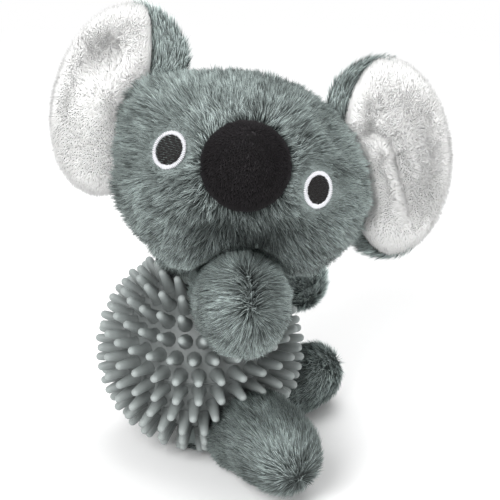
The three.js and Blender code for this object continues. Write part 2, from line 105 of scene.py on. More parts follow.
# The ears: half sizes, and each ear's place as shares, how far its lining reaches
# towards the head, at its middle and at its bottom, and its lean in degrees
EAR_HALF_WIDTH = 26.5 * MM
EAR_HALF_HEIGHT = 41 * MM
EAR_CUP_DEPTH = 9 * MM
EAR_THICKNESS = 3.6 * MM
EAR_LAYER_GAP = 0.9 * MM
EAR_SINK = 2 * MM
EAR_SHARES = {
    "right": {"out": 0.32, "up": 0.427, "inner": 0.4, "low": 1.0},
    "left": {"out": 0.095, "up": 0.573, "inner": 0.7, "low": 0.7},
}
EAR_LEANS = {"right": 0, "left": 17}

# The linings' soft ridges and hollows, in millimetres from the ear's middle: from and to
# (outward, up), then the width and the height
EAR_RELIEF = {
    "right": [
        ((6, 18), (13, 14), 9, -2.2),
        ((-9, 19), (4, -2), 7, 2.8),
        ((4, -2), (0, -30), 7, 2.5),
        ((-4, 33), (14, 30), 7, 1.8),
        ((22, 14), (23, -12), 4, 2.5),
    ],
    "left": [
        ((-11, 15), (-10, 22), 7, 5),
        ((-6, 30), (12, 28), 8, 2),
        ((1.5, 5), (8, -27), 3.2, -3),
        ((-5, 0), (0, -24), 5, 3),
        ((14, 12), (16, -20), 8.5, -2),
        ((0, -32), (12, -30), 6, 3),
        ((22, 14), (23, -12), 4, 2),
    ],
}

# Each limb: its bent centre line, as shares of the spike tips' radius, with heights from
# the ball's centre for an arm and from the floor for a leg, and its half sizes across
# and up, at the root and at the paw
LIMBS = {
    "arm_right": (
        [(0.067, -0.2, 1.067), (0.356, -0.933, 0.6), (0.489, -1.6, 1.38)],
        (10 * MM, 9 * MM), (22 * MM, 26.5 * MM),
    ),
    "leg_right": (
        [(0.222, -0.133, 0.133), (0.5, -0.8, 0.75), (0.94, -1.5, 0.4)],
        (15 * MM, 18 * MM), (19 * MM, 18 * MM),
    ),
    "arm_left": (
        [(0.156, 0.156, 1.044), (0.756, 0.667, 0.933), (1.022, 0.889, 0.067)],
        (10 * MM, 9 * MM), (16 * MM, 15 * MM),
    ),
    "leg_left": (
        [(0.4, 0.133, 0.133), (0.711, 0.5, 0.3), (1.3, 0.9, 0.4)],
        (15 * MM, 12 * MM), (15 * MM, 14 * MM),
    ),
}
LIMB_BLUNTNESS = 3.4
LIMB_STEPS = 200

# How far the furry skins lie inside the solids, so that the pile ends near their surface
PILE_SINK = 2 * MM
LIMB_SINK = 1.2 * MM

# The seeds of the pieces' strands, where pieces of one kind count on from theirs, and
# the seeds of the strands' tones and of the eyes' stitches
SEEDS = {"head": 1, "nose": 11, "ear_back": 21, "lining": 31, "arm": 41, "leg": 51, "neck": 61, "seat": 62}
TONE_SEED = 7
STITCH_SEED = 5

# Strands: the wide clumps' noise as a share of the fine one's scale, the range of their
# scales, and how far a bent one sinks
WIDE_NOISE_SHARE = 0.22
STRAND_SCALES = (0.72, 1.2)
BEND_DROP = 0.5 * MM

# A spike: how much wider its foot flares, how sharply, and how many dome heights it has
FLARE_SHARE = 0.35
FLARE_POWER = 14.0
DOMES = 8.0

# The photograph's frame: where the ball's centre lies in it, and its scale
PHOTO_SIZE = 500
PHOTO_BALL = (200, 347)
MM_PER_PIXEL = 0.43
CAMERA_ELEVATION = 25


def length_property(name, description, value):
    return FloatProperty(name=name, description=description, default=value, unit="LENGTH")


def number_property(name, description, value):
    return FloatProperty(name=name, description=description, default=value)


def colour_property(name, description, value):
    return FloatVectorProperty(name=name, description=description, default=value, subtype="COLOR")


class KoalaFur(bpy.types.PropertyGroup):
    """The long grey pile of the head, ears and limbs."""

    length: length_property("Length", "Length of a strand", 5.8 * MM)
    width: length_property("Width", "Width of a strand at its root", 0.44 * MM)
    density: number_property("Density", "Strands on a square millimetre", 4.7)
    root: colour_property("Root", "Colour at the roots", (0.19, 0.224, 0.217))
    tip: colour_property("Tip", "Colour at the tips", (0.78, 0.91, 0.885))


class KoalaPlush(bpy.types.PropertyGroup):
    """The short piles of the ear linings and of the nose."""

    lining_length: length_property("Lining length", "Pile of the ear linings", 2.7 * MM)
    lining_density: number_property("Lining density", "Strands on a square millimetre", 10)
    lining_colour: colour_property("Lining", "Colour of the ear linings", (0.92, 0.92, 0.912))
    nose_length: length_property("Nose length", "Pile of the nose", 1.9 * MM)
    nose_density: number_property("Nose density", "Strands on a square millimetre", 9)
    nose_colour: colour_property("Nose", "Colour of the nose", (0.029, 0.0265, 0.0285))


class KoalaBall(bpy.types.PropertyGroup):
    """The rubber ball's spikes."""

    spike_base: length_property("Spike base", "Radius at the root", 2.9 * MM)
    spike_tip: length_property("Spike tip", "Radius near the tip", 1.55 * MM)
    pitch: length_property("Pitch", "Spacing along a row", 7.6 * MM)
    row_pitch: length_property("Row pitch", "Spacing of the rows", 7.2 * MM)
    colour: colour_property("Rubber", "Colour of the rubber", (0.17, 0.187, 0.184))


class KoalaEyes(bpy.types.PropertyGroup):
    """The stitched eyes."""

    disc_radius: length_property("Disc", "Radius of the dark disc", 6.1 * MM)
    ring_radius: length_property("Ring", "Radius of the light ring", 7.7 * MM)
    thread: length_property("Thread", "Width of a stitch", 0.7 * MM)
    stitches: IntProperty(name="Stitches", description="Stitches round the ring", default=62)


class KoalaStage(bpy.types.PropertyGroup):
    """The lights, the floor and the camera."""

    lens: number_property("Lens", "Focal length in millimetres", 250)
    key: FloatProperty(name="Key", description="Power of the key lamp", default=19, unit="POWER")
    fill: number_property("Fill", "Brightness of the surroundings", 0.42)


SETTINGS = {
    "koala_fur": KoalaFur,
    "koala_plush": KoalaPlush,
    "koala_ball": KoalaBall,
    "koala_eyes": KoalaEyes,
    "koala_stage": KoalaStage,
}


class NodeSheet:
    """Short calls for filling a node tree."""

    def __init__(self, tree):
        self.tree = tree

    def add(self, kind, inputs=None, **settings):
        """A node of that kind, with its settings and inputs set or linked."""
        node = self.tree.nodes.new(kind)
        for name, value in settings.items():
            setattr(node, name, value)
        for key, value in (inputs or {}).items():
            self.fill(self.socket(node, key), value)
        return node

    def fill(self, socket, value):
        """Links the value to the input if it is a socket, and sets it if not."""
        if isinstance(value, bpy.types.NodeSocket):
            self.tree.links.new(value, socket)
        else:
            socket.default_value = value

    def socket(self, node, key):
        """An input by its place or by its name, the first that is in use."""
        if isinstance(key, int):
            return node.inputs[key]
        return next(s for s in node.inputs if s.name == key and s.enabled)

    def math(self, operation, first, second=0.0, third=0.0):
        node = self.add("ShaderNodeMath", {0: first, 1: second, 2: third}, operation=operation)
        return node.outputs[0]

    def vector(self, operation, first, second=None, scale=None):
        inputs = {0: first, 1: second, "Scale": scale}
        inputs = {key: value for key, value in inputs.items() if value is not None}
        return self.add("ShaderNodeVectorMath", inputs, operation=operation).outputs["Vector"]

    def noise(self, place, scale, detail):
        return self.add("ShaderNodeTexNoise", {"Vector": place, "Scale": scale, "Detail": detail})

    def wave(self, place, scale, distortion, way):
        inputs = {"Vector": place, "Scale": scale, "Distortion": distortion}
        return self.add("ShaderNodeTexWave", inputs, bands_direction=way).outputs[1]

    def place(self):
        return self.add("ShaderNodeTexCoord").outputs["Object"]

    def ramp(self, factor, stops):
        """A colour ramp with the given places and colours."""
        node = self.add("ShaderNodeValToRGB", {0: factor})
        elements = node.color_ramp.elements
        while len(elements) < len(stops):
            elements.new(0.5)
        for element, (place, colour) in zip(elements, stops):
            element.position = place
            element.color = (*colour, 1)
        return node.outputs[0]

    def shades(self, factor, colour, stops):
        """A ramp of one colour, made darker or lighter by each place's share."""
        return self.ramp(factor, [(place, scaled(colour, share)) for place, share in stops.items()])

    def attribute(self, name, kind="FLOAT"):
        node = self.add("GeometryNodeInputNamedAttribute", {"Name": name}, data_type=kind)
        return next(s for s in node.outputs if s.name == "Attribute" and s.enabled)

    def random(self, low, high, seed):
        node = self.tree.nodes.new("FunctionNodeRandomValue")
        sockets = {s.identifier: s for s in node.inputs}
        for key, value in (("Min_001", low), ("Max_001", high), ("Seed", seed)):
            self.fill(sockets[key], value)
        return next(s for s in node.outputs if s.identifier == "Value_001")

    def store(self, geometry, name, value, domain="POINT", kind="FLOAT"):
        inputs = {"Geometry": geometry, "Name": name, "Value": value}
        node = self.add("GeometryNodeStoreNamedAttribute", inputs, data_type=kind, domain=domain)
        return node.outputs[0]

    def on_points(self, points, shape, upward, onward, scale=(1.0, 1.0, 1.0)):
        """The shape on each point: its Z lies along upward, and its X near onward."""
        axes = {"Primary Axis": upward, "Secondary Axis": onward}
        turn = self.add("FunctionNodeAxesToRotation", axes, primary_axis="Z", secondary_axis="X")
        inputs = {"Points": points, "Instance": shape, "Rotation": turn.outputs[0], "Scale": scale}
        return self.add("GeometryNodeInstanceOnPoints", inputs).outputs[0]

    def real(self, instances):
        return self.add("GeometryNodeRealizeInstances", {"Geometry": instances}).outputs[0]

    def close(self, geometry, material):
        """Smooths the geometry, gives it its material and hands it out of the tree."""
        smooth = self.add("GeometryNodeSetShadeSmooth", {"Geometry": geometry})
        inputs = {"Geometry": smooth.outputs[0], "Material": material}
        painted = self.add("GeometryNodeSetMaterial", inputs)
        self.add("NodeGroupOutput", {0: painted.outputs[0]})
        return self.tree


def new_tree(name, sockets):
    """The sheet of a geometry tree with the named inputs, and its group input's sockets."""
    tree = bpy.data.node_groups.new(name, "GeometryNodeTree")
    tree.interface.new_socket("Geometry", in_out="INPUT", socket_type="NodeSocketGeometry")
    tree.interface.new_socket("Geometry", in_out="OUTPUT", socket_type="NodeSocketGeometry")
    for socket_name, kind in sockets.items():
        tree.interface.new_socket(socket_name, in_out="INPUT", socket_type=f"NodeSocket{kind}")
    return NodeSheet(tree), tree.nodes.new("NodeGroupInput").outputs


def run_tree(carrier, tree, values, name):
    """The tree's result on the carrier, as a plain mesh on an object of its own."""
    modifier = carrier.modifiers.new("Tree", "NODES")
    modifier.node_group = tree
    identifiers = {s.name: s.identifier for s in tree.interface.items_tree if s.in_out == "INPUT"}
    for socket_name, value in values.items():
        modifier[identifiers[socket_name]] = value
    carrier.update_tag()
    piece = plain(carrier, name)
    carrier.modifiers.clear()
    return piece


def plain(piece, name):
    """The piece with its modifiers applied, on an object of its own."""
    depsgraph = bpy.context.evaluated_depsgraph_get()
    mesh = bpy.data.meshes.new_from_object(
        piece.evaluated_get(depsgraph), preserve_all_data_layers=True, depsgraph=depsgraph
    )
    mesh.name = name
    return placed(name, mesh)


def placed(name, mesh):
    """An object with that mesh, in the scene."""
    piece = bpy.data.objects.new(name, mesh)
    bpy.context.scene.collection.objects.link(piece)
    return piece


def fur_tree(name):
    """Strands scattered on a skin. Each leans along the skin's comb attribute."""
    numbers = ("Density", "Length", "Width", "Bend", "Clump Size", "Clump Strength", "Tone Spread")
    sheet, given = new_tree(name, {**dict.fromkeys(numbers, "Float"), "Seed": "Int", "Material": "Material"})
    cover = sheet.math("MULTIPLY", given["Density"], sheet.attribute("cover"))
    scatter = sheet.add(
        "GeometryNodeDistributePointsOnFaces",
        {"Mesh": given["Geometry"], "Density": cover, "Seed": given["Seed"]},
        distribute_method="RANDOM",
    )
    position = sheet.add("GeometryNodeInputPosition").outputs[0]
    clump_scale = sheet.math("DIVIDE", 1.0, given["Clump Size"])
    wide_scale = sheet.math("MULTIPLY", clump_scale, WIDE_NOISE_SHARE)
    fine = sheet.noise(position, clump_scale, detail=2.0)
    wide = sheet.noise(position, wide_scale, detail=1.0)
    centre = (0.5, 0.5, 0.5)
    fine_push = sheet.vector("SUBTRACT", fine.outputs["Color"], centre)
    wide_push = sheet.vector("SUBTRACT", wide.outputs["Color"], centre)
    both = sheet.vector("ADD", fine_push, wide_push)
    push = sheet.vector("SCALE", both, scale=given["Clump Strength"])
    comb = sheet.vector("ADD", sheet.attribute("comb", "FLOAT_VECTOR"), push)
    axis = sheet.vector("ADD", scatter.outputs["Normal"], comb)

    half_width = sheet.math("MULTIPLY", given["Width"], 0.5)
    cone = {"Vertices": 3, "Radius Top": 0.0, "Radius Bottom": half_width, "Depth": given["Length"]}
    strand = sheet.add("GeometryNodeMeshCone", cone, fill_type="NGON").outputs["Mesh"]
    height = sheet.add("ShaderNodeSeparateXYZ", {0: position}).outputs["Z"]
    along = sheet.math("DIVIDE", height, given["Length"])
    marked = sheet.store(strand, "along", along)
    bow = sheet.math("MULTIPLY", sheet.math("POWER", along, 2.0), given["Bend"])
    aside = sheet.math("MULTIPLY", bow, given["Length"])
    drop = sheet.math("MULTIPLY", bow, -BEND_DROP)
    offset = sheet.add("ShaderNodeCombineXYZ", {"X": aside, "Z": drop})
    bent = sheet.add("GeometryNodeSetPosition", {"Geometry": marked, "Offset": offset.outputs[0]})

    size = sheet.math("MULTIPLY", sheet.random(*STRAND_SCALES, given["Seed"]), sheet.attribute("grow"))
    strands = sheet.on_points(scatter.outputs["Points"], bent.outputs[0], axis, comb, size)
    half_spread = sheet.math("MULTIPLY", given["Tone Spread"], 0.5)
    spread = sheet.math("MULTIPLY", sheet.random(-1.0, 1.0, TONE_SEED), half_spread)
    mixed = sheet.math("ADD", fine.outputs[0], wide.outputs[0])
    patchy = sheet.math("MULTIPLY", sheet.math("SUBTRACT", mixed, 1.0), given["Tone Spread"])
    tone = sheet.math("ADD", sheet.math("ADD", spread, patchy), sheet.attribute("shade"))
    real = sheet.real(sheet.store(strands, "tone", tone, domain="INSTANCE"))
    pair = {"X": sheet.attribute("tone"), "Y": sheet.attribute("along")}
    mapping = sheet.add("ShaderNodeCombineXYZ", pair).outputs[0]
    mapped = sheet.store(real, "OFBake", mapping, domain="CORNER", kind="FLOAT2")
    return sheet.close(mapped, given["Material"])


def spike_tree(name):
    """A blunt, flared rubber spike on each point, along the point's out attribute."""
    numbers = ("Length", "Base", "Tip", "Sink")
    sheet, given = new_tree(name, {**dict.fromkeys(numbers, "Float"), "Material": "Material"})
    ball = sheet.add("GeometryNodeMeshUVSphere", {"Segments": 10, "Rings": 10, "Radius": 1.0}).outputs[0]
    place = sheet.add("GeometryNodeInputPosition").outputs[0]
    parts = sheet.add("ShaderNodeSeparateXYZ", {0: place})
    share = sheet.math("MULTIPLY_ADD", parts.outputs["Z"], 0.5, 0.5)
    flat = sheet.add("ShaderNodeCombineXYZ", {"X": parts.outputs["X"], "Y": parts.outputs["Y"]})
    around = sheet.vector("NORMALIZE", flat.outputs[0])
    marked = sheet.store(ball, "along", share)
    slope = sheet.math("SUBTRACT", given["Tip"], given["Base"])
    straight = sheet.math("MULTIPLY_ADD", slope, share, given["Base"])
    flare = sheet.math("POWER", sheet.math("SUBTRACT", 1.0, share), FLARE_POWER)
    wider = sheet.math("MULTIPLY_ADD", flare, FLARE_SHARE, 1.0)
    flared = sheet.math("MULTIPLY", straight, wider)
    over = sheet.math("MAXIMUM", sheet.math("MULTIPLY_ADD", share, DOMES, 1.0 - DOMES), 0.0)
    dome = sheet.math("SQRT", sheet.math("SUBTRACT", 1.0, sheet.math("POWER", over, 2.0)))
    side = sheet.vector("SCALE", around, scale=sheet.math("MULTIPLY", flared, dome))
    whole = sheet.math("ADD", given["Length"], given["Sink"])
    rise = sheet.math("SUBTRACT", sheet.math("MULTIPLY", share, whole), given["Sink"])
    lift = sheet.add("ShaderNodeCombineXYZ", {"Z": rise})
    position = sheet.vector("ADD", side, lift.outputs[0])
    shaped = sheet.add("GeometryNodeSetPosition", {"Geometry": marked, "Position": position}).outputs[0]
    out = sheet.attribute("out", "FLOAT_VECTOR")
    spikes = sheet.on_points(given["Geometry"], shaped, out, (0.0, 0.0, 1.0))
    return sheet.close(sheet.real(spikes), given["Material"])


def stitch_tree(name):
    """A stitch on each point: its length lies along run, its height along out."""
    sheet, given = new_tree(name, {"Material": "Material"})
    bead = sheet.add("GeometryNodeMeshUVSphere", {"Segments": 8, "Rings": 6, "Radius": 0.5}).outputs[0]
    out, run, size = (sheet.attribute(key, "FLOAT_VECTOR") for key in ("out", "run", "size"))
    stitches = sheet.on_points(given["Geometry"], bead, out, run, size)
    return sheet.close(sheet.real(stitches), given["Material"])


def new_material(name):
    """An empty material, its sheet and its shader."""
    material = bpy.data.materials.new(name)
    material.use_nodes = True
    material.node_tree.nodes.clear()
    sheet = NodeSheet(material.node_tree)
    shader = sheet.add("ShaderNodeBsdfPrincipled")
    sheet.add("ShaderNodeOutputMaterial", {"Surface": shader.outputs[0]})
    return material, sheet, shader


def paint(sheet, shader, colour, roughness, gloss=0.5):
    """Links the shader's colour, and links or sets its roughness and its gloss."""
    sheet.fill(shader.inputs["Base Color"], colour)
    sheet.fill(shader.inputs["Roughness"], roughness)
    shader.inputs["Specular IOR Level"].default_value = gloss


def roughen(sheet, shader, height, strength, distance):
    """Gives the shader's surface a bump by a height."""
    bump = sheet.add("ShaderNodeBump", {"Height": height, "Strength": strength, "Distance": distance})
    sheet.fill(shader.inputs["Normal"], bump.outputs[0])


def scaled(colour, factor):
    return tuple(min(1.0, part * factor) for part in colour)


def strand_material(name, root, tip, darkest, roughness, gloss):
    """Fur that runs from its root colour to its tip colour, darker where its tone is low."""
    material, sheet, shader = new_material(name)
    uv = sheet.add("ShaderNodeUVMap", uv_map="OFBake")
    parts = sheet.add("ShaderNodeSeparateXYZ", {0: uv.outputs[0]})
    middle = [root[i] * 0.85 + tip[i] * 0.15 for i in range(3)]
    bright = [(0.0, root), (0.55, middle), (0.85, tip)]
    dark = [(place, scaled(colour, darkest)) for place, colour in bright]
    ramps = [sheet.ramp(parts.outputs["Y"], stops) for stops in (dark, bright)]
    mix = sheet.add("ShaderNodeMix", {0: parts.outputs["X"], 6: ramps[0], 7: ramps[1]}, data_type="RGBA")
    paint(sheet, shader, mix.outputs[2], roughness, gloss)
    return material


def woven_material(name, colour, roughness=0.85, scale=900.0):
    """Plain cloth: crossed threads with a little unevenness."""
    material, sheet, shader = new_material(name)
    place = sheet.place()
    noise = sheet.noise(place, scale * 0.3, detail=3.0)
    warp, weft = (sheet.wave(place, scale, 1.5, way) for way in "XZ")
    threads = sheet.math("MULTIPLY", warp, weft)
    uneven = sheet.math("MULTIPLY_ADD", threads, 0.3, noise.outputs[0])
    cloth = sheet.shades(uneven, colour, {0.25: 0.7, 0.85: 1.12})
    paint(sheet, shader, cloth, roughness)
    roughen(sheet, shader, uneven, strength=0.4, distance=0.2 * MM)
    return material


def thread_material(name, colour, gloss):
    """Satin-stitch thread: fine twist lines in its colour and its bump, with painted shade in their grooves
    and a painted sheen on their ridges.
    """
    material, sheet, shader = new_material(name)
    place = sheet.place()
    twist = sheet.wave(place, 2600.0, 3.0, way="DIAGONAL")
    # Painted shade and sheen along the twist
    thread = sheet.shades(twist, colour, {0.0: 0.75, 1.0: 1.1})
    paint(sheet, shader, thread, roughness=0.6, gloss=gloss)
    roughen(sheet, shader, twist, strength=0.35, distance=0.1 * MM)
    return material


def rubber_material(name, colour, shade):
    """Moulded rubber, with a painted highlight that makes its spikes' tips lighter."""
    material, sheet, shader = new_material(name)
    place = sheet.place()
    noise = sheet.noise(place, scale=260.0, detail=4.0).outputs[0]
    speck = sheet.noise(place, scale=3200.0, detail=2.0).outputs[0]
    along = sheet.add("ShaderNodeAttribute", attribute_name="along").outputs["Fac"]
    # Painted highlight: lighter towards each spike's tip
    tip_highlight = sheet.math("MULTIPLY", sheet.math("POWER", along, 1.6), 0.7)
    level = sheet.math("MULTIPLY_ADD", noise, 0.3, tip_highlight)
    rubber = sheet.shades(level, colour, {0.1: shade, 0.4: 1.0, 1.0: 2.0})
    paint(sheet, shader, rubber, sheet.math("MULTIPLY_ADD", noise, 0.2, 0.36), gloss=0.32)
    roughen(sheet, shader, speck, strength=0.2, distance=0.1 * MM)
    return material


def plastic_material(name, colour):
    """Matt moulded plastic with faint mottling."""
    material, sheet, shader = new_material(name)
    place = sheet.place()
    noise = sheet.noise(place, scale=400.0, detail=3.0).outputs[0]
    mottled = sheet.shades(noise, colour, {0.2: 0.9, 0.8: 1.04})
    paint(sheet, shader, mottled, roughness=0.45)
    return material


def made(kind, name, *values, **options):
    """A tree or a material, made once and then found by its name."""
    found = bpy.data.node_groups.get(name) or bpy.data.materials.get(name)
    return found or kind(name, *values, **options)


def skin_look():
    root = bpy.context.scene.koala_fur.root
    return made(woven_material, "koala_fur_backing", scaled(root, 1.2))


JOINTS = {joint["name"]: joint for joint in frame["joints"]}


def head_frame():
    """The head's frame, from the two ear seams that the record's joints name."""
    right, left = (Vector(JOINTS[f"ear_flap_{name}"]["pos_m"]) for name in SIDES)
    up = Vector(JOINTS["ear_flap_left"]["axis"]).normalized()
    across = (left - right).normalized()
    back = up.cross(across).normalized()
    centre = (left + right) / 2 - back * HEAD_HALF[1] * EAR_HINGE_BACK_SHARE
    turn = Matrix((across, back, up)).transposed().to_4x4()
    return np.array(Matrix.Translation(centre) @ turn)


HEAD_FRAME = head_frame()
HEAD_TURN = HEAD_FRAME[:3, :3]
HEAD_CENTRE = HEAD_FRAME[:3, 3]


def from_head(points):
    return points @ HEAD_TURN.T + HEAD_CENTRE


def to_head(points):
    return (points - HEAD_CENTRE) @ HEAD_TURN


def turn_from_head(vectors):
    return vectors @ HEAD_TURN.T


def unit(vectors):
    """The vectors at length 1, with no division by zero."""
    length = np.linalg.norm(vectors, axis=-1, keepdims=True)
    return vectors / np.maximum(length, 1e-12)


def lengths(vectors):
    return np.linalg.norm(vectors, axis=1)


def fade(gap, width):
    """1 where the gap is none, falling off softly over the width."""
    return np.exp(-((gap / width) ** 2))


def unit_sphere(columns, rows):
    """A unit sphere's points, with the poles on Z, and its faces."""
    turn = np.linspace(0, 2 * math.pi, columns, endpoint=False)
    tilt = np.linspace(0, math.pi, rows + 1)[1:-1]
    turn, tilt = np.meshgrid(turn, tilt)
    rings = np.stack([np.sin(tilt) * np.cos(turn), np.sin(tilt) * np.sin(turn), np.cos(tilt)], axis=-1)
    points = np.vstack([[0, 0, 1], rings.reshape(-1, 3), [0, 0, -1]])
    faces = []
    last = 1 + (rows - 2) * columns
    for j in range(columns):
        k = (j + 1) % columns
        faces.append((0, 1 + j, 1 + k))
        faces.append((len(points) - 1, last + k, last + j))
        for top in range(1, last, columns):
            low = top + columns
            faces.append((top + j, low + j, low + k, top + k))
    return points, faces


def flipped(faces):
    return [tuple(reversed(face)) for face in faces]


def new_piece(name, points, faces, material=None):
    """A smooth mesh object with its place in its mesh."""
    mesh = bpy.data.meshes.new(name)
    mesh.from_pydata([tuple(p) for p in points], [], faces)
    mesh.validate()
    if faces:
        mesh.shade_smooth()
    if material:
        mesh.materials.append(material)
    return placed(name, mesh)


def vectors_of(items, key):
    """One vector of each item, such as a point's place."""
    values = np.zeros(len(items) * 3, np.float32)
    items.foreach_get(key, values)
    return values.reshape(-1, 3).astype(float)


def move_points(piece, points):
    piece.data.vertices.foreach_set("co", points.astype(np.float32).ravel())
    piece.data.update()


def set_attribute(piece, name, values, kind="FLOAT"):
    attribute = piece.data.attributes.new(name, kind, "POINT")
    key = "vector" if kind == "FLOAT_VECTOR" else "value"
    attribute.data.foreach_set(key, np.asarray(values, np.float32).ravel())


def comb_skin(piece, flow, lean, shade, grow=1.0, cover=1.0):
    """Marks how fur lies on the skin: its comb direction and lean, its tone with any painted light and
    shade, its length and cover.
    """
    normals = vectors_of(piece.data.vertex_normals, "vector")
    every = np.ones(len(normals))
    flat = unit(flow - normals * np.sum(flow * normals, axis=1, keepdims=True))
    set_attribute(piece, "comb", flat * np.reshape(lean * every, (-1, 1)), "FLOAT_VECTOR")
    for name, values in {"shade": shade, "grow": grow, "cover": cover}.items():
        set_attribute(piece, name, values * every)


def pile_on(skin, lie, name, seed, look, density, length, width, bend, clump_size, clumping, spread):
    """Strands over a skin that lie as comb_skin says, as a plain mesh of their own."""
    carrier = placed("carrier", skin.data.copy())
    comb_skin(carrier, **lie)
    values = {
        "Density": density / MM**2,
        "Length": length,
        "Width": width,
        "Bend": bend,
        "Clump Size": clump_size,
        "Clump Strength": clumping,
        "Tone Spread": spread,
        "Seed": seed,
        "Material": look,
    }
    pile = run_tree(carrier, made(fur_tree, "Koala Fur"), values, name)
    bpy.data.objects.remove(carrier)
    return pile


def fur_on(skin, lie, name, seed, clumping=2.2):
    """Long grey fur over a skin, as a plain mesh of its own."""
    fur = bpy.context.scene.koala_fur
    colours = (fur.root, fur.tip)
    look = made(strand_material, "koala_grey_fur", *colours, darkest=0.15, roughness=0.6, gloss=0.12)
    piece = pile_on(
        skin, lie, name, seed, look, fur.density, fur.length, fur.width,
        bend=0.25, clump_size=2.2 * MM, clumping=clumping, spread=1.0,
    )
    return piece


def pushed_off_ball(points, clearance):
    """The points moved out of the space of the ball's spikes."""
    away = points - BALL_CENTRE
    distance = np.linalg.norm(away, axis=1, keepdims=True)
    least = TIP_RADIUS + clearance
    return np.where(distance < least, BALL_CENTRE + unit(away) * least, points)


def pushed_off_head(points, clearance):
    """The points moved out of the head's rounded form."""
    size = head_size(points, clearance)[:, None]
    moved = HEAD_CENTRE + (points - HEAD_CENTRE) / np.maximum(size, 1e-6)
    return np.where(size < 1, moved, points)


def above_floor(points):
    points[:, 2] = np.maximum(points[:, 2], 0.0)
    return points


def keep_above_floor(piece):
    """Lays whatever would hang under the floor onto it."""
    move_points(piece, above_floor(vectors_of(piece.data.vertices, "co")))


def temple_swell(x, z):
    """How much fuller the right temple is: it is squarer than the rest of the outline."""
    gap = (x - TEMPLE_SHARES[0]) ** 2 + (z - TEMPLE_SHARES[1]) ** 2
    return 1 + TEMPLE_SWELL_SHARE * np.exp(-gap / TEMPLE_SPREAD) * (x**2 + z**2) ** 2


def head_size(points, clearance):
    """How far out each point lies, as a share of the head's form grown by a clearance."""
    inner = to_head(points) / (HEAD_HALF + clearance)
    size = np.maximum(np.linalg.norm(inner, axis=1, keepdims=True), 1e-9)
    way = inner / size
    inner[:, [0, 2]] /= temple_swell(way[:, 0], way[:, 2])[:, None]
    return lengths(inner)


def head_points(sphere, grow):
    """The head's soft form in its own frame: full cheeks, and a chin that falls back."""
    x, y, z = sphere.T
    low = np.maximum(0, -z)
    front = np.maximum(0, -y)
    swell = 1 - CHEEK_SWELL_SHARE * z * np.abs(x)
    aside = (x - CHIN_CENTRE_SHARE) / CHIN_WIDTH_SHARE
    middle = np.maximum(0, 1 - aside**2) ** 2
    recess = 1 - CHIN_RECESS_SHARE * middle * low * front
    tuck = 1 - JOWL_TUCK_SHARE * np.maximum(0, x) * low
    half = HEAD_HALF + grow
    temple = temple_swell(x, z)
    across = x * swell * tuck * temple * half[0]
    return np.stack([across, y * recess * half[1], z * tuck * temple * half[2]], axis=1)


def face_point(x, z):
    """The point of the face at that place across and up, in the head's frame."""
    up = z / HEAD_HALF[2]
    across = x / HEAD_HALF[0]
    across /= 1 - CHEEK_SWELL_SHARE * up * abs(across)
    temple = temple_swell(across, up)
    across /= temple
    up /= temple
    back = -math.sqrt(max(0.0, 1 - across**2 - up**2))
    return np.array([x, back * HEAD_HALF[1], z])


def face_normal(point):
    return unit(point / HEAD_HALF**2)


def eye_centre(side):
    across = (side * EYE_SPACING_SHARE + EYE_SHIFT_SHARE) * HEAD_HALF[0]
    return face_point(across, EYE_HEIGHT_SHARE * HEAD_HALF[2])


NOSE_PLACE = np.array(
    [HEAD_HALF[0] * NOSE_SHARES[0], NOSE_SINK - HEAD_HALF[1], HEAD_HALF[2] * NOSE_SHARES[1]]
)


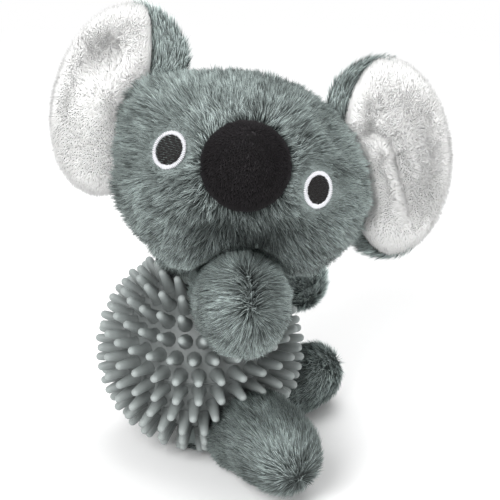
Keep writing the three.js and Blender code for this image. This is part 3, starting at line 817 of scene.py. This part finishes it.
class KOALA_OT_head(bpy.types.Operator):
    """Builds the head's skin and its fur, in the panels that its seams part."""

    bl_idname = "koala.head"
    bl_label = "Head"

    columns = 160
    rows = 100
    seam_share = 0.33
    lean = 1.15
    eye_radius = 7.6 * MM
    eye_edge = 1.5 * MM
    eye_reach = 8 * MM
    nose_reach = 12 * MM
    paw_room = 3.5 * MM
    paw_reach = 7 * MM
    paw_shares = (0.55, 0.7, 0.85, 0.93, 0.97)
    tone = 0.72
    # Painted shadow: darker fur under the nose and the tucked chin
    under_nose_painted_shadow = 0.5
    under_nose_shares = (0.15, -0.52)
    under_nose_spreads = (0.4, 0.11)
    # Painted shade: darker fur in the recess round the nose
    by_nose_painted_shade = 0.32
    # Painted shade: darker fur low on the face and on its left jowl, away from the light above
    low_painted_shade = 0.12
    jowl_painted_shade = 0.25
    # Painted light: lighter fur in the shaded hollow near the paw
    paw_painted_light = 0.3
    paw_trim = 0.5
    cheek_growth = 0.5
    temple_growth = 0.3

    def execute(self, context):
        sphere, faces = unit_sphere(self.columns, self.rows)
        local = head_points(sphere, -PILE_SINK)
        points, near_paw = self.dented_by_paw(pushed_off_ball(from_head(local), SEAM_GAP))
        skin = new_piece("head_plush", points, faces, skin_look())
        x, y, z = sphere.T
        front = y < 0
        (x0, z0), (x_spread, z_spread) = self.under_nose_shares, self.under_nose_spreads
        under_nose = np.exp(-((x - x0) ** 2 / x_spread + (z - z0) ** 2 / z_spread)) * front
        nose_gap = lengths((local - NOSE_PLACE)[:, [0, 2]]) - NOSE_HALF[0]
        by_nose = fade(np.maximum(nose_gap, 0), self.nose_reach) * front
        low = np.clip(-z * 1.5, 0, 1)
        jowl = low * np.clip(x * 2 + 0.3, 0, 1)
        cheek = np.clip(-x * 2 - 1, 0, 1) * np.clip(-z * 2, 0, 1)
        temple = (temple_swell(x, z) - 1) / TEMPLE_SWELL_SHARE
        # Painted shade and shadow: darker under and round the nose, low on the face and on its left jowl
        shade = self.tone - self.under_nose_painted_shadow * under_nose - self.by_nose_painted_shade * by_nose
        shade = shade - self.low_painted_shade * low - self.jowl_painted_shade * jowl
        grow = 1 + self.cheek_growth * cheek + self.temple_growth * temple
        grow = (1 - self.paw_trim * near_paw) * grow
        cover = np.where((nose_gap < -2 * MM) & front, 0.0, 1.0)
        for side in SIDES.values():
            eye_gap = lengths(local - eye_centre(side)) - self.eye_radius
            cover *= np.clip(eye_gap / self.eye_edge, 0, 1)
            grow *= np.clip(eye_gap / self.eye_reach, 0.3, 1)
        lie = {
            "flow": turn_from_head(local - NOSE_PLACE),
            "lean": self.lean * np.clip((nose_gap + 3 * MM) / (9 * MM), 0.45, 1),
            # Painted light in the hollow near the paw
            "shade": shade + self.paw_painted_light * near_paw,
            "grow": grow,
        }
        panels = {
            "head_fur_right": x < -self.seam_share,
            "head_fur_left": x > self.seam_share,
            "head_fur_middle": np.abs(x) <= self.seam_share,
        }
        for index, (name, inside) in enumerate(panels.items()):
            piece = fur_on(skin, {**lie, "cover": cover * inside}, name, SEEDS["head"] + index)
            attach(piece, "head")
        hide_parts("head_skin", "head_stuffing")
        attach(skin, "head")
        return {"FINISHED"}

    def dented_by_paw(self, points):
        """The points pressed in by the paw under the chin, and how near each lies to it."""
        path_shares, _, half = LIMBS["arm_right"]
        line = limb_line(path_shares, BALL_CENTRE[2])
        near = np.zeros(len(points))
        for share in self.paw_shares:
            centre = line(share)
            round_share = math.sqrt(1 - (2 * share - 1) ** LIMB_BLUNTNESS)
            radius = half[0] * round_share + self.paw_room
            inward = unit(HEAD_CENTRE - points)
            offset = points - centre
            along = np.sum(offset * inward, axis=1)
            inside = radius**2 - np.sum(offset * offset, axis=1)
            travel = np.where(inside > 0, np.sqrt(np.maximum(along**2 + inside, 0)) - along, 0)
            points = points + inward * travel[:, None]
            gap = lengths(points - centre) - radius
            near = np.maximum(near, np.clip(1 - gap / self.paw_reach, 0, 1))
        return points, near


class KOALA_OT_nose(bpy.types.Operator):
    """Builds the nose: a dome with short black pile."""

    bl_idname = "koala.nose"
    bl_label = "Nose"

    columns = 64
    rows = 40
    pile_sink = 1.4 * MM
    ring_turn = 26

    def execute(self, context):
        plush = context.scene.koala_plush
        dark = plush.nose_colour
        sphere, faces = unit_sphere(self.columns, self.rows)
        reach = NOSE_HALF + np.array([0, NOSE_SINK, 0]) - self.pile_sink
        backing = made(woven_material, "koala_nose_backing", dark)
        skin = new_piece("nose_plush", from_head(sphere * reach + NOSE_PLACE), faces, backing)
        out = lengths(sphere[:, [0, 2]])
        rings = np.sin(out * self.ring_turn)
        rim = out[:, None] ** 6
        flow = sphere * np.array([0.5, 0, 0.5]) * (1 + 6 * rim) - UP
        lie = {
            "flow": turn_from_head(flow),
            "lean": 0.8 + 0.2 * rings,
            # Painted sheen in rings, and painted shade towards the bottom
            "shade": 0.5 + 0.15 * rings + 0.25 * sphere[:, 2],
            "grow": 1 + 0.4 * rim[:, 0],
            "cover": np.where(sphere[:, 1] < 0.15, 1.0, 0.0),
        }
        ends = (scaled(dark, 0.5), scaled(dark, 1.8))
        look = made(strand_material, "koala_nose_pile", *ends, darkest=0.5, roughness=0.7, gloss=0.06)
        pile = pile_on(
            skin, lie, "nose_pile", SEEDS["nose"], look, plush.nose_density, plush.nose_length,
            width=0.32 * MM, bend=0.3, clump_size=1.6 * MM, clumping=0.6, spread=0.5,
        )
        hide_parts("nose_cover", "nose_stuffing")
        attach(skin, "head")
        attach(pile, "head")
        return {"FINISHED"}


class KOALA_OT_eyes(bpy.types.Operator):
    """Builds the eyes: a dark disc in rows of stitches, in a ring of light stitches."""

    bl_idname = "koala.eyes"
    bl_label = "Eyes"

    stitch_length = 3.4 * MM
    row_pitch = 0.95 * MM
    rise = 1.2 * MM - PILE_SINK
    ring_rise = 0.25 * MM
    overlap = 0.4 * MM
    across_shares = {-1: 1.0, 1: 0.86}
    size_shares = {-1: 1.06, 1: 1.0}
    dark = (0.017, 0.0158, 0.016)
    light = (0.66, 0.66, 0.69)

    def execute(self, context):
        dark = made(thread_material, "koala_dark_thread", self.dark, gloss=0.1)
        light = made(thread_material, "koala_light_thread", self.light, gloss=0.2)
        eyes = context.scene.koala_eyes
        for name, side in SIDES.items():
            disc = self.stitches(f"eye_stitching_{name}", self.disc_points(eyes, side), dark)
            ring = self.stitches(f"eye_edging_{name}", self.ring_points(eyes, side), light)
            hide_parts(f"eye_disc_{name}")
            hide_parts(f"eye_ring_{name}")
            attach(disc, "head")
            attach(ring, "head")
        return {"FINISHED"}

    def place(self, side, right, up, rise):
        """The point of the face right and up of the eye's middle, and the ways out, across and up."""
        centre = eye_centre(side)
        normal = face_normal(centre)
        across = unit(np.cross(UP, -normal))
        above = np.cross(-normal, across)
        size = self.size_shares[side]
        flat = centre - across * right * self.across_shares[side] * size + above * up * size
        point = face_point(flat[0], flat[2])
        out = face_normal(point)
        return point + out * rise, out, -across, above

    def disc_points(self, eyes, side):
        rows = []
        count = round(2 * eyes.disc_radius / self.row_pitch)
        for row in range(count):
            up = (2 * (row + 0.5) / count - 1) * eyes.disc_radius
            half = math.sqrt(max(0, eyes.disc_radius**2 - up**2))
            edge = -half - self.stitch_length + (row % 2) * self.stitch_length / 2
            while edge < half:
                low = max(edge, -half)
                high = min(edge + self.stitch_length, half)
                edge += self.stitch_length
                if high - low > eyes.thread:
                    point, out, across, _ = self.place(side, (low + high) / 2, up, self.rise)
                    size = (high - low + self.overlap, self.row_pitch * 1.06, 0.8 * MM)
                    rows.append((point, out, across, size))
        return rows

    def ring_points(self, eyes, side):
        rows = []
        middle = (eyes.disc_radius + eyes.ring_radius) / 2
        length = eyes.ring_radius - eyes.disc_radius + self.overlap
        chance = np.random.default_rng(STITCH_SEED)
        for index in range(eyes.stitches):
            turn = 2 * math.pi * index / eyes.stitches
            right = middle * math.cos(turn)
            up = middle * math.sin(turn)
            point, out, across, above = self.place(side, right, up, self.rise + self.ring_rise)
            run = across * math.cos(turn) + above * math.sin(turn)
            size = (length * chance.uniform(0.88, 1.16), eyes.thread, chance.uniform(0.9, 1.3) * MM)
            rows.append((point, out, run, size))
        return rows

    def stitches(self, name, rows, material):
        points, out, run, size = (np.array(column) for column in zip(*rows))
        carrier = new_piece("carrier", from_head(points), [])
        for key, values in {"out": turn_from_head(out), "run": turn_from_head(run), "size": size}.items():
            set_attribute(carrier, key, values, "FLOAT_VECTOR")
        piece = run_tree(carrier, made(stitch_tree, "Koala Stitches"), {"Material": material}, name)
        bpy.data.objects.remove(carrier)
        return piece


def raised(x, z, relief):
    """How far soft ridges, or hollows where negative, stand out at each place."""
    total = np.zeros(len(x))
    for (x0, z0), (x1, z1), width, height in relief:
        run = np.array([x1 - x0, z1 - z0]) * MM
        share = ((x - x0 * MM) * run[0] + (z - z0 * MM) * run[1]) / np.dot(run, run)
        share = np.clip(share, 0, 1)
        gap = np.hypot(x - x0 * MM - share * run[0], z - z0 * MM - share * run[1])
        total += height * MM * fade(gap, width * MM)
    return total


def ear_panel(name, direction, columns, rows, inner=1.0, low=1.0, relief=()):
    """One panel of an ear: its points and faces, the sphere behind it and its relief."""
    sphere, faces = unit_sphere(columns, rows)
    sign = SIDES[name]
    low_reach = (low - inner) * np.clip(-sphere[:, 1] * 1.5, 0, 1)
    reach = np.where(sphere[:, 0] < 0, inner + low_reach, 1.0)
    x = sphere[:, 0] * reach * (EAR_HALF_WIDTH - EAR_SINK)
    z = sphere[:, 1] * (EAR_HALF_HEIGHT - EAR_SINK)
    spread = np.minimum(1, (x / EAR_HALF_WIDTH) ** 2 + (z / EAR_HALF_HEIGHT) ** 2)
    outward = np.maximum(0, sphere[:, 2]) * EAR_THICKNESS + EAR_LAYER_GAP / 2
    height = raised(x, z, relief) * np.clip(sphere[:, 2] * 2.5, 0, 1)
    y = EAR_CUP_DEPTH * (1 - spread) + direction * outward - height
    x = x * sign
    lean = math.radians(-sign * EAR_LEANS[name])
    across = x * math.cos(lean) + z * math.sin(lean)
    up = -x * math.sin(lean) + z * math.cos(lean)
    across += sign * (HEAD_HALF[0] + EAR_HALF_WIDTH * EAR_SHARES[name]["out"])
    up += HEAD_HALF[2] * EAR_SHARES[name]["up"]
    if sign * direction > 0:
        faces = flipped(faces)
    return from_head(np.stack([across, y, up], axis=1)), faces, sphere, height


def ear_way(name):
    """The way from the head out to that ear."""
    return turn_from_head(np.array([SIDES[name], 0, 0]))


class KOALA_OT_ears(bpy.types.Operator):
    """Builds the ears: a furry back, and a lining of short white plush."""

    bl_idname = "koala.ears"
    bl_label = "Ears"

    back_grid = (72, 36)
    lining_grid = (120, 72)
    puff_up = 1 * MM
    puff_in = 4.5 * MM
    hang_drop = 6 * MM

    def execute(self, context):
        for index, name in enumerate(SIDES):
            self.back(name, SEEDS["ear_back"] + index)
            self.lining(context, name, SEEDS["lining"] + index)
        return {"FINISHED"}

    def attach(self, piece, name):
        """Bakes the piece's place into its mesh."""
        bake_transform(piece)

    def back(self, name, seed):
        points, faces, sphere, _ = ear_panel(name, 1, *self.back_grid)
        x, y, z = sphere.T
        outward = ear_way(name)
        upward = turn_from_head(UP)
        backward = turn_from_head(np.array([0, 1, 0]))
        puff = np.sqrt(np.clip(0.2 - x, 0, 1)) * np.clip(y + 0.3, 0, 1)
        points = points + np.outer(puff, upward * self.puff_up - outward * self.puff_in)
        if name == "left":
            hang = np.clip(-y - 0.4, 0, 1) * np.clip(0.6 - x, 0, 1)
            points = points - np.outer(hang, upward * self.hang_drop)
        skin = new_piece(f"ear_plush_{name}", points, faces, skin_look())
        rim = lengths(sphere[:, :2]) ** 8
        shown = (x < -0.3) | ((y > 0.6) & (x < 0.15)) | ((name == "left") & (y < -0.5) & (x < 0.45))
        outer_rim = (rim * ~shown)[:, None]
        across = np.outer(x, outward) + np.outer(y, upward)
        along = np.outer(y, outward) - np.outer(x, upward)
        reach = np.where(x < 0, x / EAR_SHARES[name]["inner"], x)
        lined = (z < 0.05) & (np.hypot(reach, y) < 0.97)
        lie = {
            "flow": across + along * 0.8 * (1 - outer_rim) + backward * outer_rim * 4,
            "lean": 1.3,
            "shade": 0.66,
            "grow": 0.85 - 0.45 * outer_rim[:, 0],
            "cover": np.where((head_size(points, -1 * MM) > 1) & ~lined, 1.0, 0.0),
        }
        piece = fur_on(skin, lie, f"ear_fur_{name}", seed, 1.2)
        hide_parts(f"ear_back_{name}")
        self.attach(skin, name)
        self.attach(piece, name)

    def lining(self, context, name, seed):
        plush = context.scene.koala_plush
        white = plush.lining_colour
        shares = EAR_SHARES[name]
        points, faces, sphere, height = ear_panel(
            name, -1, *self.lining_grid, shares["inner"], shares["low"], EAR_RELIEF[name]
        )
        backing = made(woven_material, "koala_lining_backing", scaled(white, 0.9))
        skin = new_piece(f"ear_velvet_{name}", points, faces, backing)
        edge = lengths(sphere[:, :2])
        lie = {
            "flow": points - points.mean(axis=0),
            "lean": 0.25 + 0.9 * edge**6,
            # Painted shade: darker in the lining's hollows, and at its rims, which face the top lamp
            "shade": np.clip(1 + 0.17 * height / MM - 0.4 * edge**6, 0, 1),
            "cover": np.where((head_size(points, 0) > 1) & (sphere[:, 2] > -0.3), 1.0, 0.0),
        }
        ends = (scaled(white, 0.93), white)
        look = made(strand_material, "koala_white_pile", *ends, darkest=0.45, roughness=0.8, gloss=0.15)
        pile = pile_on(
            skin, lie, f"ear_pile_{name}", seed, look, plush.lining_density, plush.lining_length,
            width=0.4 * MM, bend=0.3, clump_size=3.0 * MM, clumping=0.6, spread=0.18,
        )
        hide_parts(f"ear_lining_{name}")
        self.attach(skin, name)
        self.attach(pile, name)


def bend_points(path_shares):
    return (np.array(p) * TIP_RADIUS for p in path_shares)


def limb_line(path_shares, base_height=0.0):
    """The bent line's point at a share of the way along it."""
    first, middle, last = bend_points(path_shares)

    def place(t):
        bent = (1 - t) ** 2 * first + 2 * t * (1 - t) * middle + t**2 * last
        return bent + UP * base_height

    return place


def limb_points(sphere, path_shares, base_height, root, half):
    """A blunt limb along a bent line: its points, and the line's direction at each."""
    first, middle, last = bend_points(path_shares)
    line = limb_line(path_shares)
    fine = np.linspace(0, 1, LIMB_STEPS)[:, None]
    steps = lengths(np.diff(line(fine), axis=0))
    walked = np.concatenate([[0], np.cumsum(steps)])
    share = (sphere[:, 2] + 1) / 2
    t = np.interp(share, walked / walked[-1], fine[:, 0])[:, None]
    tangent = unit(2 * (1 - t) * (middle - first) + 2 * t * (last - middle))
    side = unit(np.cross(tangent, UP))
    top = unit(np.cross(side, tangent))
    round_share = np.sqrt(np.maximum(0, 1 - np.abs(sphere[:, 2]) ** LIMB_BLUNTNESS))
    turn = np.arctan2(sphere[:, 1], sphere[:, 0])
    width = (root[0] + (half[0] - root[0]) * share - LIMB_SINK) * round_share * np.cos(turn)
    height = (root[1] + (half[1] - root[1]) * share - LIMB_SINK) * round_share * np.sin(turn)
    points = line(t) + side * width[:, None] + top * height[:, None]
    points[:, 2] += base_height
    return points, tangent, share


class KOALA_OT_limbs(bpy.types.Operator):
    """Builds the arms and the legs, each a stuffed skin under combed fur."""

    bl_idname = "koala.limbs"
    bl_label = "Arms and Legs"

    columns = 64
    rows = 48
    spike_sink = 4.5 * MM
    lean = 1.25
    tone = 0.62
    # Painted light on the far arm and leg, which lie in shade, and painted shade on the near leg
    painted_light_and_shade = {"arm_left": 0.38, "leg_left": 0.12, "leg_right": -0.08}
    # Painted shade at the leg's tip, where the fur parts in a whorl
    whorl_painted_shade = {"leg_right": 0.25}
    partings = {"arm_right": 7 * MM}
    parting_from = 0.8
    parting_reach = 16 * MM
    parting_width = 4.5 * MM
    # Painted shade in the paw's parting
    parting_painted_shade = 0.5
    parting_lift = 0.8
    # Painted light on the paw's top, which the head shades
    upper_painted_light = 0.45
    upper_reach = 20 * MM
    head_share = 0.72
    floor_cover = 0.25

    def execute(self, context):
        for name, limb in LIMBS.items():
            self.limb(name, *limb)
        return {"FINISHED"}

    def limb(self, name, path_shares, root, half):
        kind, side = name.split("_")
        base_height = BALL_CENTRE[2] if kind == "arm" else 0
        seed = SEEDS[kind] + list(SIDES).index(side)
        sphere, faces = unit_sphere(self.columns, self.rows)
        points, tangent, share = limb_points(sphere, path_shares, base_height, root, half)
        points = pushed_off_ball(points, -self.spike_sink if kind == "leg" else SEAM_GAP)
        if kind == "arm":
            deep = share < self.head_share
            points = np.where(deep[:, None], pushed_off_head(points, SEAM_GAP), points)
        points = above_floor(points)
        skin = new_piece(f"{kind}_plush_{side}", points, flipped(faces), skin_look())
        # Painted shade at the whorl
        shade = self.tone - self.whorl_painted_shade.get(name, 0) * np.clip((share - 0.95) / 0.05, 0, 1)
        comb = -tangent
        lean = self.lean
        if name in self.partings:
            line = limb_line(path_shares, base_height)
            comb, parted, upper = self.parting(points, comb, line, self.partings[name])
            parted = parted * (share > self.parting_from)
            # Painted light and shade on the paw: darker overall and in the parting, lighter towards its top
            shade = shade - 0.1 - self.parting_painted_shade * parted + self.upper_painted_light * upper
            lean = lean - self.parting_lift * parted
        lie = {
            "flow": comb,
            "lean": lean,
            # Painted light and shade for each limb
            "shade": shade + self.painted_light_and_shade.get(name, 0),
            "grow": 0.95,
            "cover": np.where(points[:, 2] > 1.2 * MM, 1.0, self.floor_cover),
        }
        fur = fur_on(skin, lie, f"{kind}_fur_{side}", seed, 1.5)
        keep_above_floor(fur)
        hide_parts(f"{kind}_skin_{side}", f"{kind}_stuffing_{side}")
        for piece in (skin, fur):
            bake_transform(piece)

    def parting(self, points, comb, line, half):
        """Combs the limb's end away from a short line, and finds what lies near and above it."""
        end = line(1.0)
        ahead = unit(end - line(0.98))
        side = unit(np.cross(ahead, UP))
        top = unit(np.cross(side, ahead))
        offset = points - end
        along = np.clip(offset @ top, -half, half)
        apart = offset - np.outer(along, top)
        apart -= np.outer(apart @ ahead, ahead)
        gap = lengths(apart)
        near = fade(gap, self.parting_reach)[:, None] * (comb @ ahead < 0)[:, None]
        parted = fade(gap, self.parting_width)
        upper = np.clip((offset @ top) / self.upper_reach, 0, 1)
        return comb * (1 - near) + unit(apart) * near, parted, upper


class KOALA_OT_ball(bpy.types.Operator):
    """Builds the rubber ball: two moulded halves with rows of blunt spikes."""

    bl_idname = "koala.ball"
    bl_label = "Spiky Ball"

    wall = 2.5 * MM
    ridge = 0.7 * MM
    ridge_half_width = 1.1 * MM
    spike_sink = 0.8 * MM
    segments = 120
    steps = 22

    def execute(self, context):
        settings = context.scene.koala_ball
        look = made(rubber_material, "koala_rubber", settings.colour, 0.55)
        values = {
            "Length": SPIKE_LENGTH,
            "Base": settings.spike_base,
            "Tip": settings.spike_tip,
            "Sink": self.spike_sink,
            "Material": look,
        }
        for name, sign in (("upper", 1), ("lower", -1)):
            out = self.spike_ways(settings, sign)
            carrier = new_piece("carrier", BALL_CENTRE + out * CORE_RADIUS, [])
            set_attribute(carrier, "out", out, "FLOAT_VECTOR")
            spikes = run_tree(carrier, made(spike_tree, "Koala Spikes"), values, "spikes")
            bpy.data.objects.remove(carrier)
            piece = joined(f"ball_rubber_{name}", [self.shell(sign, look), spikes])
            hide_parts(f"ball_{name}_half")
            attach(piece, "ball")
        return {"FINISHED"}

    def spike_ways(self, settings, sign):
        """The way that each spike of one half points, in rows of even spacing."""
        row_turn = settings.row_pitch / CORE_RADIUS
        clear = OPENING_RADIUS + settings.spike_base
        out = []
        row = 0
        while CORE_RADIUS * math.cos((row + 0.5) * row_turn) > clear:
            latitude = (row + 0.5) * row_turn
            flat = math.cos(latitude)
            count = round(2 * math.pi * CORE_RADIUS * flat / settings.pitch)
            for index in range(count):
                turn = sign * 2 * math.pi * index / count
                out.append((flat * math.cos(turn), flat * math.sin(turn), sign * math.sin(latitude)))
            row += 1
        return np.array(out)

    def shell(self, sign, look):
        """Half of the ball's hollow skin, with the parting line's raised edge."""
        inner = CORE_RADIUS - self.wall
        half_gap = SEAM_GAP / 2
        opening = math.acos(OPENING_RADIUS / CORE_RADIUS)
        inner_opening = math.acos(OPENING_RADIUS / inner)
        start = self.ridge_half_width / CORE_RADIUS
        profile = [
            (inner, half_gap),
            (CORE_RADIUS + self.ridge, half_gap),
            (CORE_RADIUS + self.ridge, half_gap + self.ridge * 0.5),
            (CORE_RADIUS + self.ridge * 0.5, half_gap + self.ridge),
        ]
        profile += arc(CORE_RADIUS, start, opening, self.steps)
        profile += reversed(arc(inner, 0, inner_opening, self.steps)[1:])
        points, faces = turned(profile, self.segments)
        points[:, 2] *= sign
        if sign < 0:
            faces = flipped(faces)
        return new_piece("shell", points + BALL_CENTRE, faces, look)


def arc(radius, start, end, steps):
    """The points of an arc, as distances from the axis and heights."""
    turns = [start + (end - start) * step / steps for step in range(steps + 1)]
    return [(radius * math.cos(turn), radius * math.sin(turn)) for turn in turns]


def turned(profile, segments):
    """A closed profile of radius and height, turned about Z."""
    count = len(profile)
    points = []
    faces = []
    for index in range(segments):
        turn = 2 * math.pi * index / segments
        points += [(r * math.cos(turn), r * math.sin(turn), z) for r, z in profile]
        this = index * count
        following = (index + 1) % segments * count
        for k in range(count):
            m = (k + 1) % count
            faces.append((this + k, following + k, following + m, this + m))
    return np.array(points), faces


def joined(name, pieces):
    """The pieces as one mesh object."""
    bpy.ops.object.select_all(action="DESELECT")
    for piece in pieces:
        piece.select_set(True)
    bpy.context.view_layer.objects.active = pieces[0]
    bpy.ops.object.join()
    pieces[0].name = name
    pieces[0].data.name = name
    return pieces[0]


class KOALA_OT_neck(bpy.types.Operator):
    """Builds the furry neck and the seat's hip under the ball."""

    bl_idname = "koala.neck"
    bl_label = "Neck and Seat"

    columns = 64
    rows = 40
    neck_radius = 18 * MM
    merge = 0.02 * MM
    voxel = 0.8 * MM
    soften_rounds = 4
    floor_reach = 0.5 * MM
    seat_middle = np.array([6, 0, 0]) * MM

    def execute(self, context):
        self.neck()
        self.seat()
        return {"FINISHED"}

    def neck(self):
        low, high = (np.array(corner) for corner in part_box("neck"))
        sphere, faces = unit_sphere(self.columns, self.rows)
        share = (sphere[:, 2] + 1) / 2
        swell = np.maximum(0, 1 - np.abs(sphere[:, 2]) ** 6) ** 0.5
        turn = np.arctan2(sphere[:, 1], sphere[:, 0])
        radius = self.neck_radius * swell
        height = low[2] + share * (high[2] - low[2])
        points = np.stack([radius * np.cos(turn), radius * np.sin(turn), height], axis=1)
        points = pushed_off_ball(points, SEAM_GAP)
        skin = new_piece("neck_plush", points, faces, skin_look())
        outside = lengths(to_head(points) / HEAD_HALF) > 1
        lie = {
            "flow": np.tile([0, 0, -1.0], (len(points), 1)),
            "lean": 0.8,
            "shade": 0.4,
            "grow": 0.8,
            "cover": np.where(outside & (swell > 0.5), 1.0, 0.0),
        }
        fur = fur_on(skin, lie, "neck_fur", SEEDS["neck"])
        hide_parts("neck")
        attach(skin, "head")
        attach(fur, "head")

    def seat(self):
        source = placed("seat_source", frame["nodes"]["hip_gusset"].data.copy())
        dark = scaled(bpy.context.scene.koala_fur.tip, 0.35)
        source.data.materials.clear()
        source.data.materials.append(made(woven_material, "koala_seat_backing", dark))
        source.modifiers.new("Merge", "WELD").merge_threshold = self.merge
        remesh = source.modifiers.new("Remesh", "REMESH")
        remesh.mode = "VOXEL"
        remesh.voxel_size = self.voxel
        source.modifiers.new("Soften", "SMOOTH").iterations = self.soften_rounds
        skin = plain(source, "seat_plush")
        bpy.data.objects.remove(source)
        points = above_floor(vectors_of(skin.data.vertices, "co"))
        points[:, 2] = np.where(points[:, 2] < self.floor_reach, 0.0, points[:, 2])
        move_points(skin, points)
        normals = vectors_of(skin.data.vertex_normals, "vector")
        inside = lengths(points - BALL_CENTRE) < TIP_RADIUS - 1 * MM
        lie = {
            "flow": points * np.array([1.0, 1.0, 0.0]) - self.seat_middle,
            "lean": 1.2,
            "shade": 0.45,
            "grow": 0.55,
            "cover": np.where((normals[:, 2] > -0.5) & ~inside, 1.0, 0.0),
        }
        fur = fur_on(skin, lie, "seat_fur", SEEDS["seat"])
        keep_above_floor(fur)
        skin.data.shade_smooth()
        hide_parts("hip_gusset")
        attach(skin, "ball")
        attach(fur, "ball")


class KOALA_OT_inside(bpy.types.Operator):
    """Gives the pieces inside the toy their cloth, filling and plastic."""

    bl_idname = "koala.inside"
    bl_label = "Inside"

    def execute(self, context):
        filling = made(woven_material, "koala_filling", (0.86, 0.86, 0.83), roughness=0.95, scale=240.0)
        cloth = made(woven_material, "koala_core_cloth", (0.21, 0.24, 0.23))
        plastic = made(plastic_material, "koala_squeaker_plastic", (0.8, 0.78, 0.7))
        for name, node in frame["nodes"].items():
            if node.hide_render:
                continue
            look = plastic if name.startswith("squeaker") else filling
            if name in ("neck_collar", "core_sock"):
                look = cloth
            node.data.materials.clear()
            node.data.materials.append(look)
        return {"FINISHED"}


class KOALA_OT_stage(bpy.types.Operator):
    """Sets up the floor, the soft lights and the camera."""

    bl_idname = "koala.stage"
    bl_label = "Stage"

    floor_size = 6.0
    floor_colour = (0.95, 0.95, 0.95, 1)
    white_from = 0.22
    white_to = 0.5
    sensor_width = 36
    clip_start = 0.05
    lamp_aim = (0.02, -0.01, 0.1)
    # Each lamp's place, its share of the key's power and its size
    lamps = {
        "key": ((-0.45, -1.0, 0.85), 1.0, 0.7),
        "top": ((0.15, 0.1, 1.2), 0.5, 0.8),
        "side": ((0.95, -0.75, 0.25), 0.2, 0.6),
    }

    def execute(self, context):
        stage = context.scene.koala_stage
        self.floor()
        self.world(context.scene, stage)
        for name, (place, share, size) in self.lamps.items():
            self.lamp(name, place, stage.key * share, size)
        self.camera(context.scene, stage)
        return {"FINISHED"}

    def seen_white(self, sheet):
        """1 where the camera, a reflection or a refraction looks."""
        path = sheet.add("ShaderNodeLightPath")
        both = sheet.math("MAXIMUM", path.outputs["Is Camera Ray"], path.outputs["Is Glossy Ray"])
        return sheet.math("MAXIMUM", both, path.outputs["Is Transmission Ray"])

    def floor(self):
        half = self.floor_size / 2
        corners = [(-half, -half, 0), (half, -half, 0), (half, half, 0), (-half, half, 0)]
        material, sheet, shader = new_material("floor")
        paint(sheet, shader, self.floor_colour, roughness=0.9)
        reach = sheet.add("ShaderNodeVectorMath", {0: sheet.place()}, operation="LENGTH").outputs["Value"]
        ends = {"Value": reach, "From Min": self.white_from, "From Max": self.white_to}
        away = sheet.add("ShaderNodeMapRange", ends)
        white = sheet.add("ShaderNodeEmission", {"Strength": 1.0})
        share = sheet.math("MULTIPLY", away.outputs[0], self.seen_white(sheet))
        mix = sheet.add("ShaderNodeMixShader", {0: share, 1: shader.outputs[0], 2: white.outputs[0]})
        sheet.add("ShaderNodeOutputMaterial", {"Surface": mix.outputs[0]}, is_active_output=True)
        floor = new_piece("floor", corners, [(0, 1, 2, 3)], material)

    def world(self, scene, stage):
        scene.view_settings.view_transform = "Standard"
        world = scene.world = bpy.data.worlds.new("studio")
        world.use_nodes = True
        world.node_tree.nodes.clear()
        sheet = NodeSheet(world.node_tree)
        lit, seen = (
            sheet.add("ShaderNodeBackground", {"Color": (1, 1, 1, 1), "Strength": strength}).outputs[0]
            for strength in (stage.fill, 1.0)
        )
        mix = sheet.add("ShaderNodeMixShader", {0: self.seen_white(sheet), 1: lit, 2: seen})
        sheet.add("ShaderNodeOutputWorld", {"Surface": mix.outputs[0]})

    def lamp(self, name, place, energy, size):
        data = bpy.data.lights.new(name, "AREA")
        data.energy = energy
        data.size = size
        lamp = placed(name, data)
        lamp.location = place
        aim = Vector(self.lamp_aim) - lamp.location
        lamp.rotation_euler = aim.to_track_quat("-Z", "Y").to_euler()

    def camera(self, scene, stage):
        data = bpy.data.cameras.new("camera")
        data.lens = stage.lens
        data.sensor_width = self.sensor_width
        data.clip_start = self.clip_start
        camera = scene.camera = placed("camera", data)
        tilt = math.radians(CAMERA_ELEVATION)
        towards = Vector((0, -math.cos(tilt), math.sin(tilt)))
        up = Vector((0, math.sin(tilt), math.cos(tilt)))
        scale = MM_PER_PIXEL * MM
        right_shift = (PHOTO_SIZE / 2 - PHOTO_BALL[0]) * scale
        up_shift = (PHOTO_BALL[1] - PHOTO_SIZE / 2) * scale
        target = Vector(BALL_CENTRE) + Vector((right_shift, 0, 0)) + up * up_shift
        distance = stage.lens / data.sensor_width * PHOTO_SIZE * scale
        camera.location = target + towards * distance
        camera.rotation_euler = (-towards).to_track_quat("-Z", "Y").to_euler()


OPERATORS = [
    KOALA_OT_ball, KOALA_OT_head, KOALA_OT_nose, KOALA_OT_eyes, KOALA_OT_ears,
    KOALA_OT_limbs, KOALA_OT_neck, KOALA_OT_inside, KOALA_OT_stage,
]


class KOALA_PT_panel(bpy.types.Panel):
    """Lists the koala's sizes and the steps that build it."""

    bl_idname = "KOALA_PT_panel"
    bl_label = "Plush Koala"
    bl_space_type = "VIEW_3D"
    bl_region_type = "UI"
    bl_category = "Koala"

    def draw(self, context):
        for name, group in SETTINGS.items():
            box = self.layout.box()
            for prop in group.__annotations__:
                box.prop(getattr(context.scene, name), prop)
        for operator in OPERATORS:
            self.layout.operator(operator.bl_idname)


CLASSES = [*SETTINGS.values(), *OPERATORS, KOALA_PT_panel]


def register():
    for kind in CLASSES:
        bpy.utils.register_class(kind)
    for name, group in SETTINGS.items():
        setattr(bpy.types.Scene, name, PointerProperty(type=group))


def unregister():
    for name in SETTINGS:
        delattr(bpy.types.Scene, name)
    for kind in reversed(CLASSES):
        bpy.utils.unregister_class(kind)


def main():
    register()
    for operator in OPERATORS:
        group, name = operator.bl_idname.split(".")
        getattr(getattr(bpy.ops, group), name)()


if __name__ == "__main__":
    main()
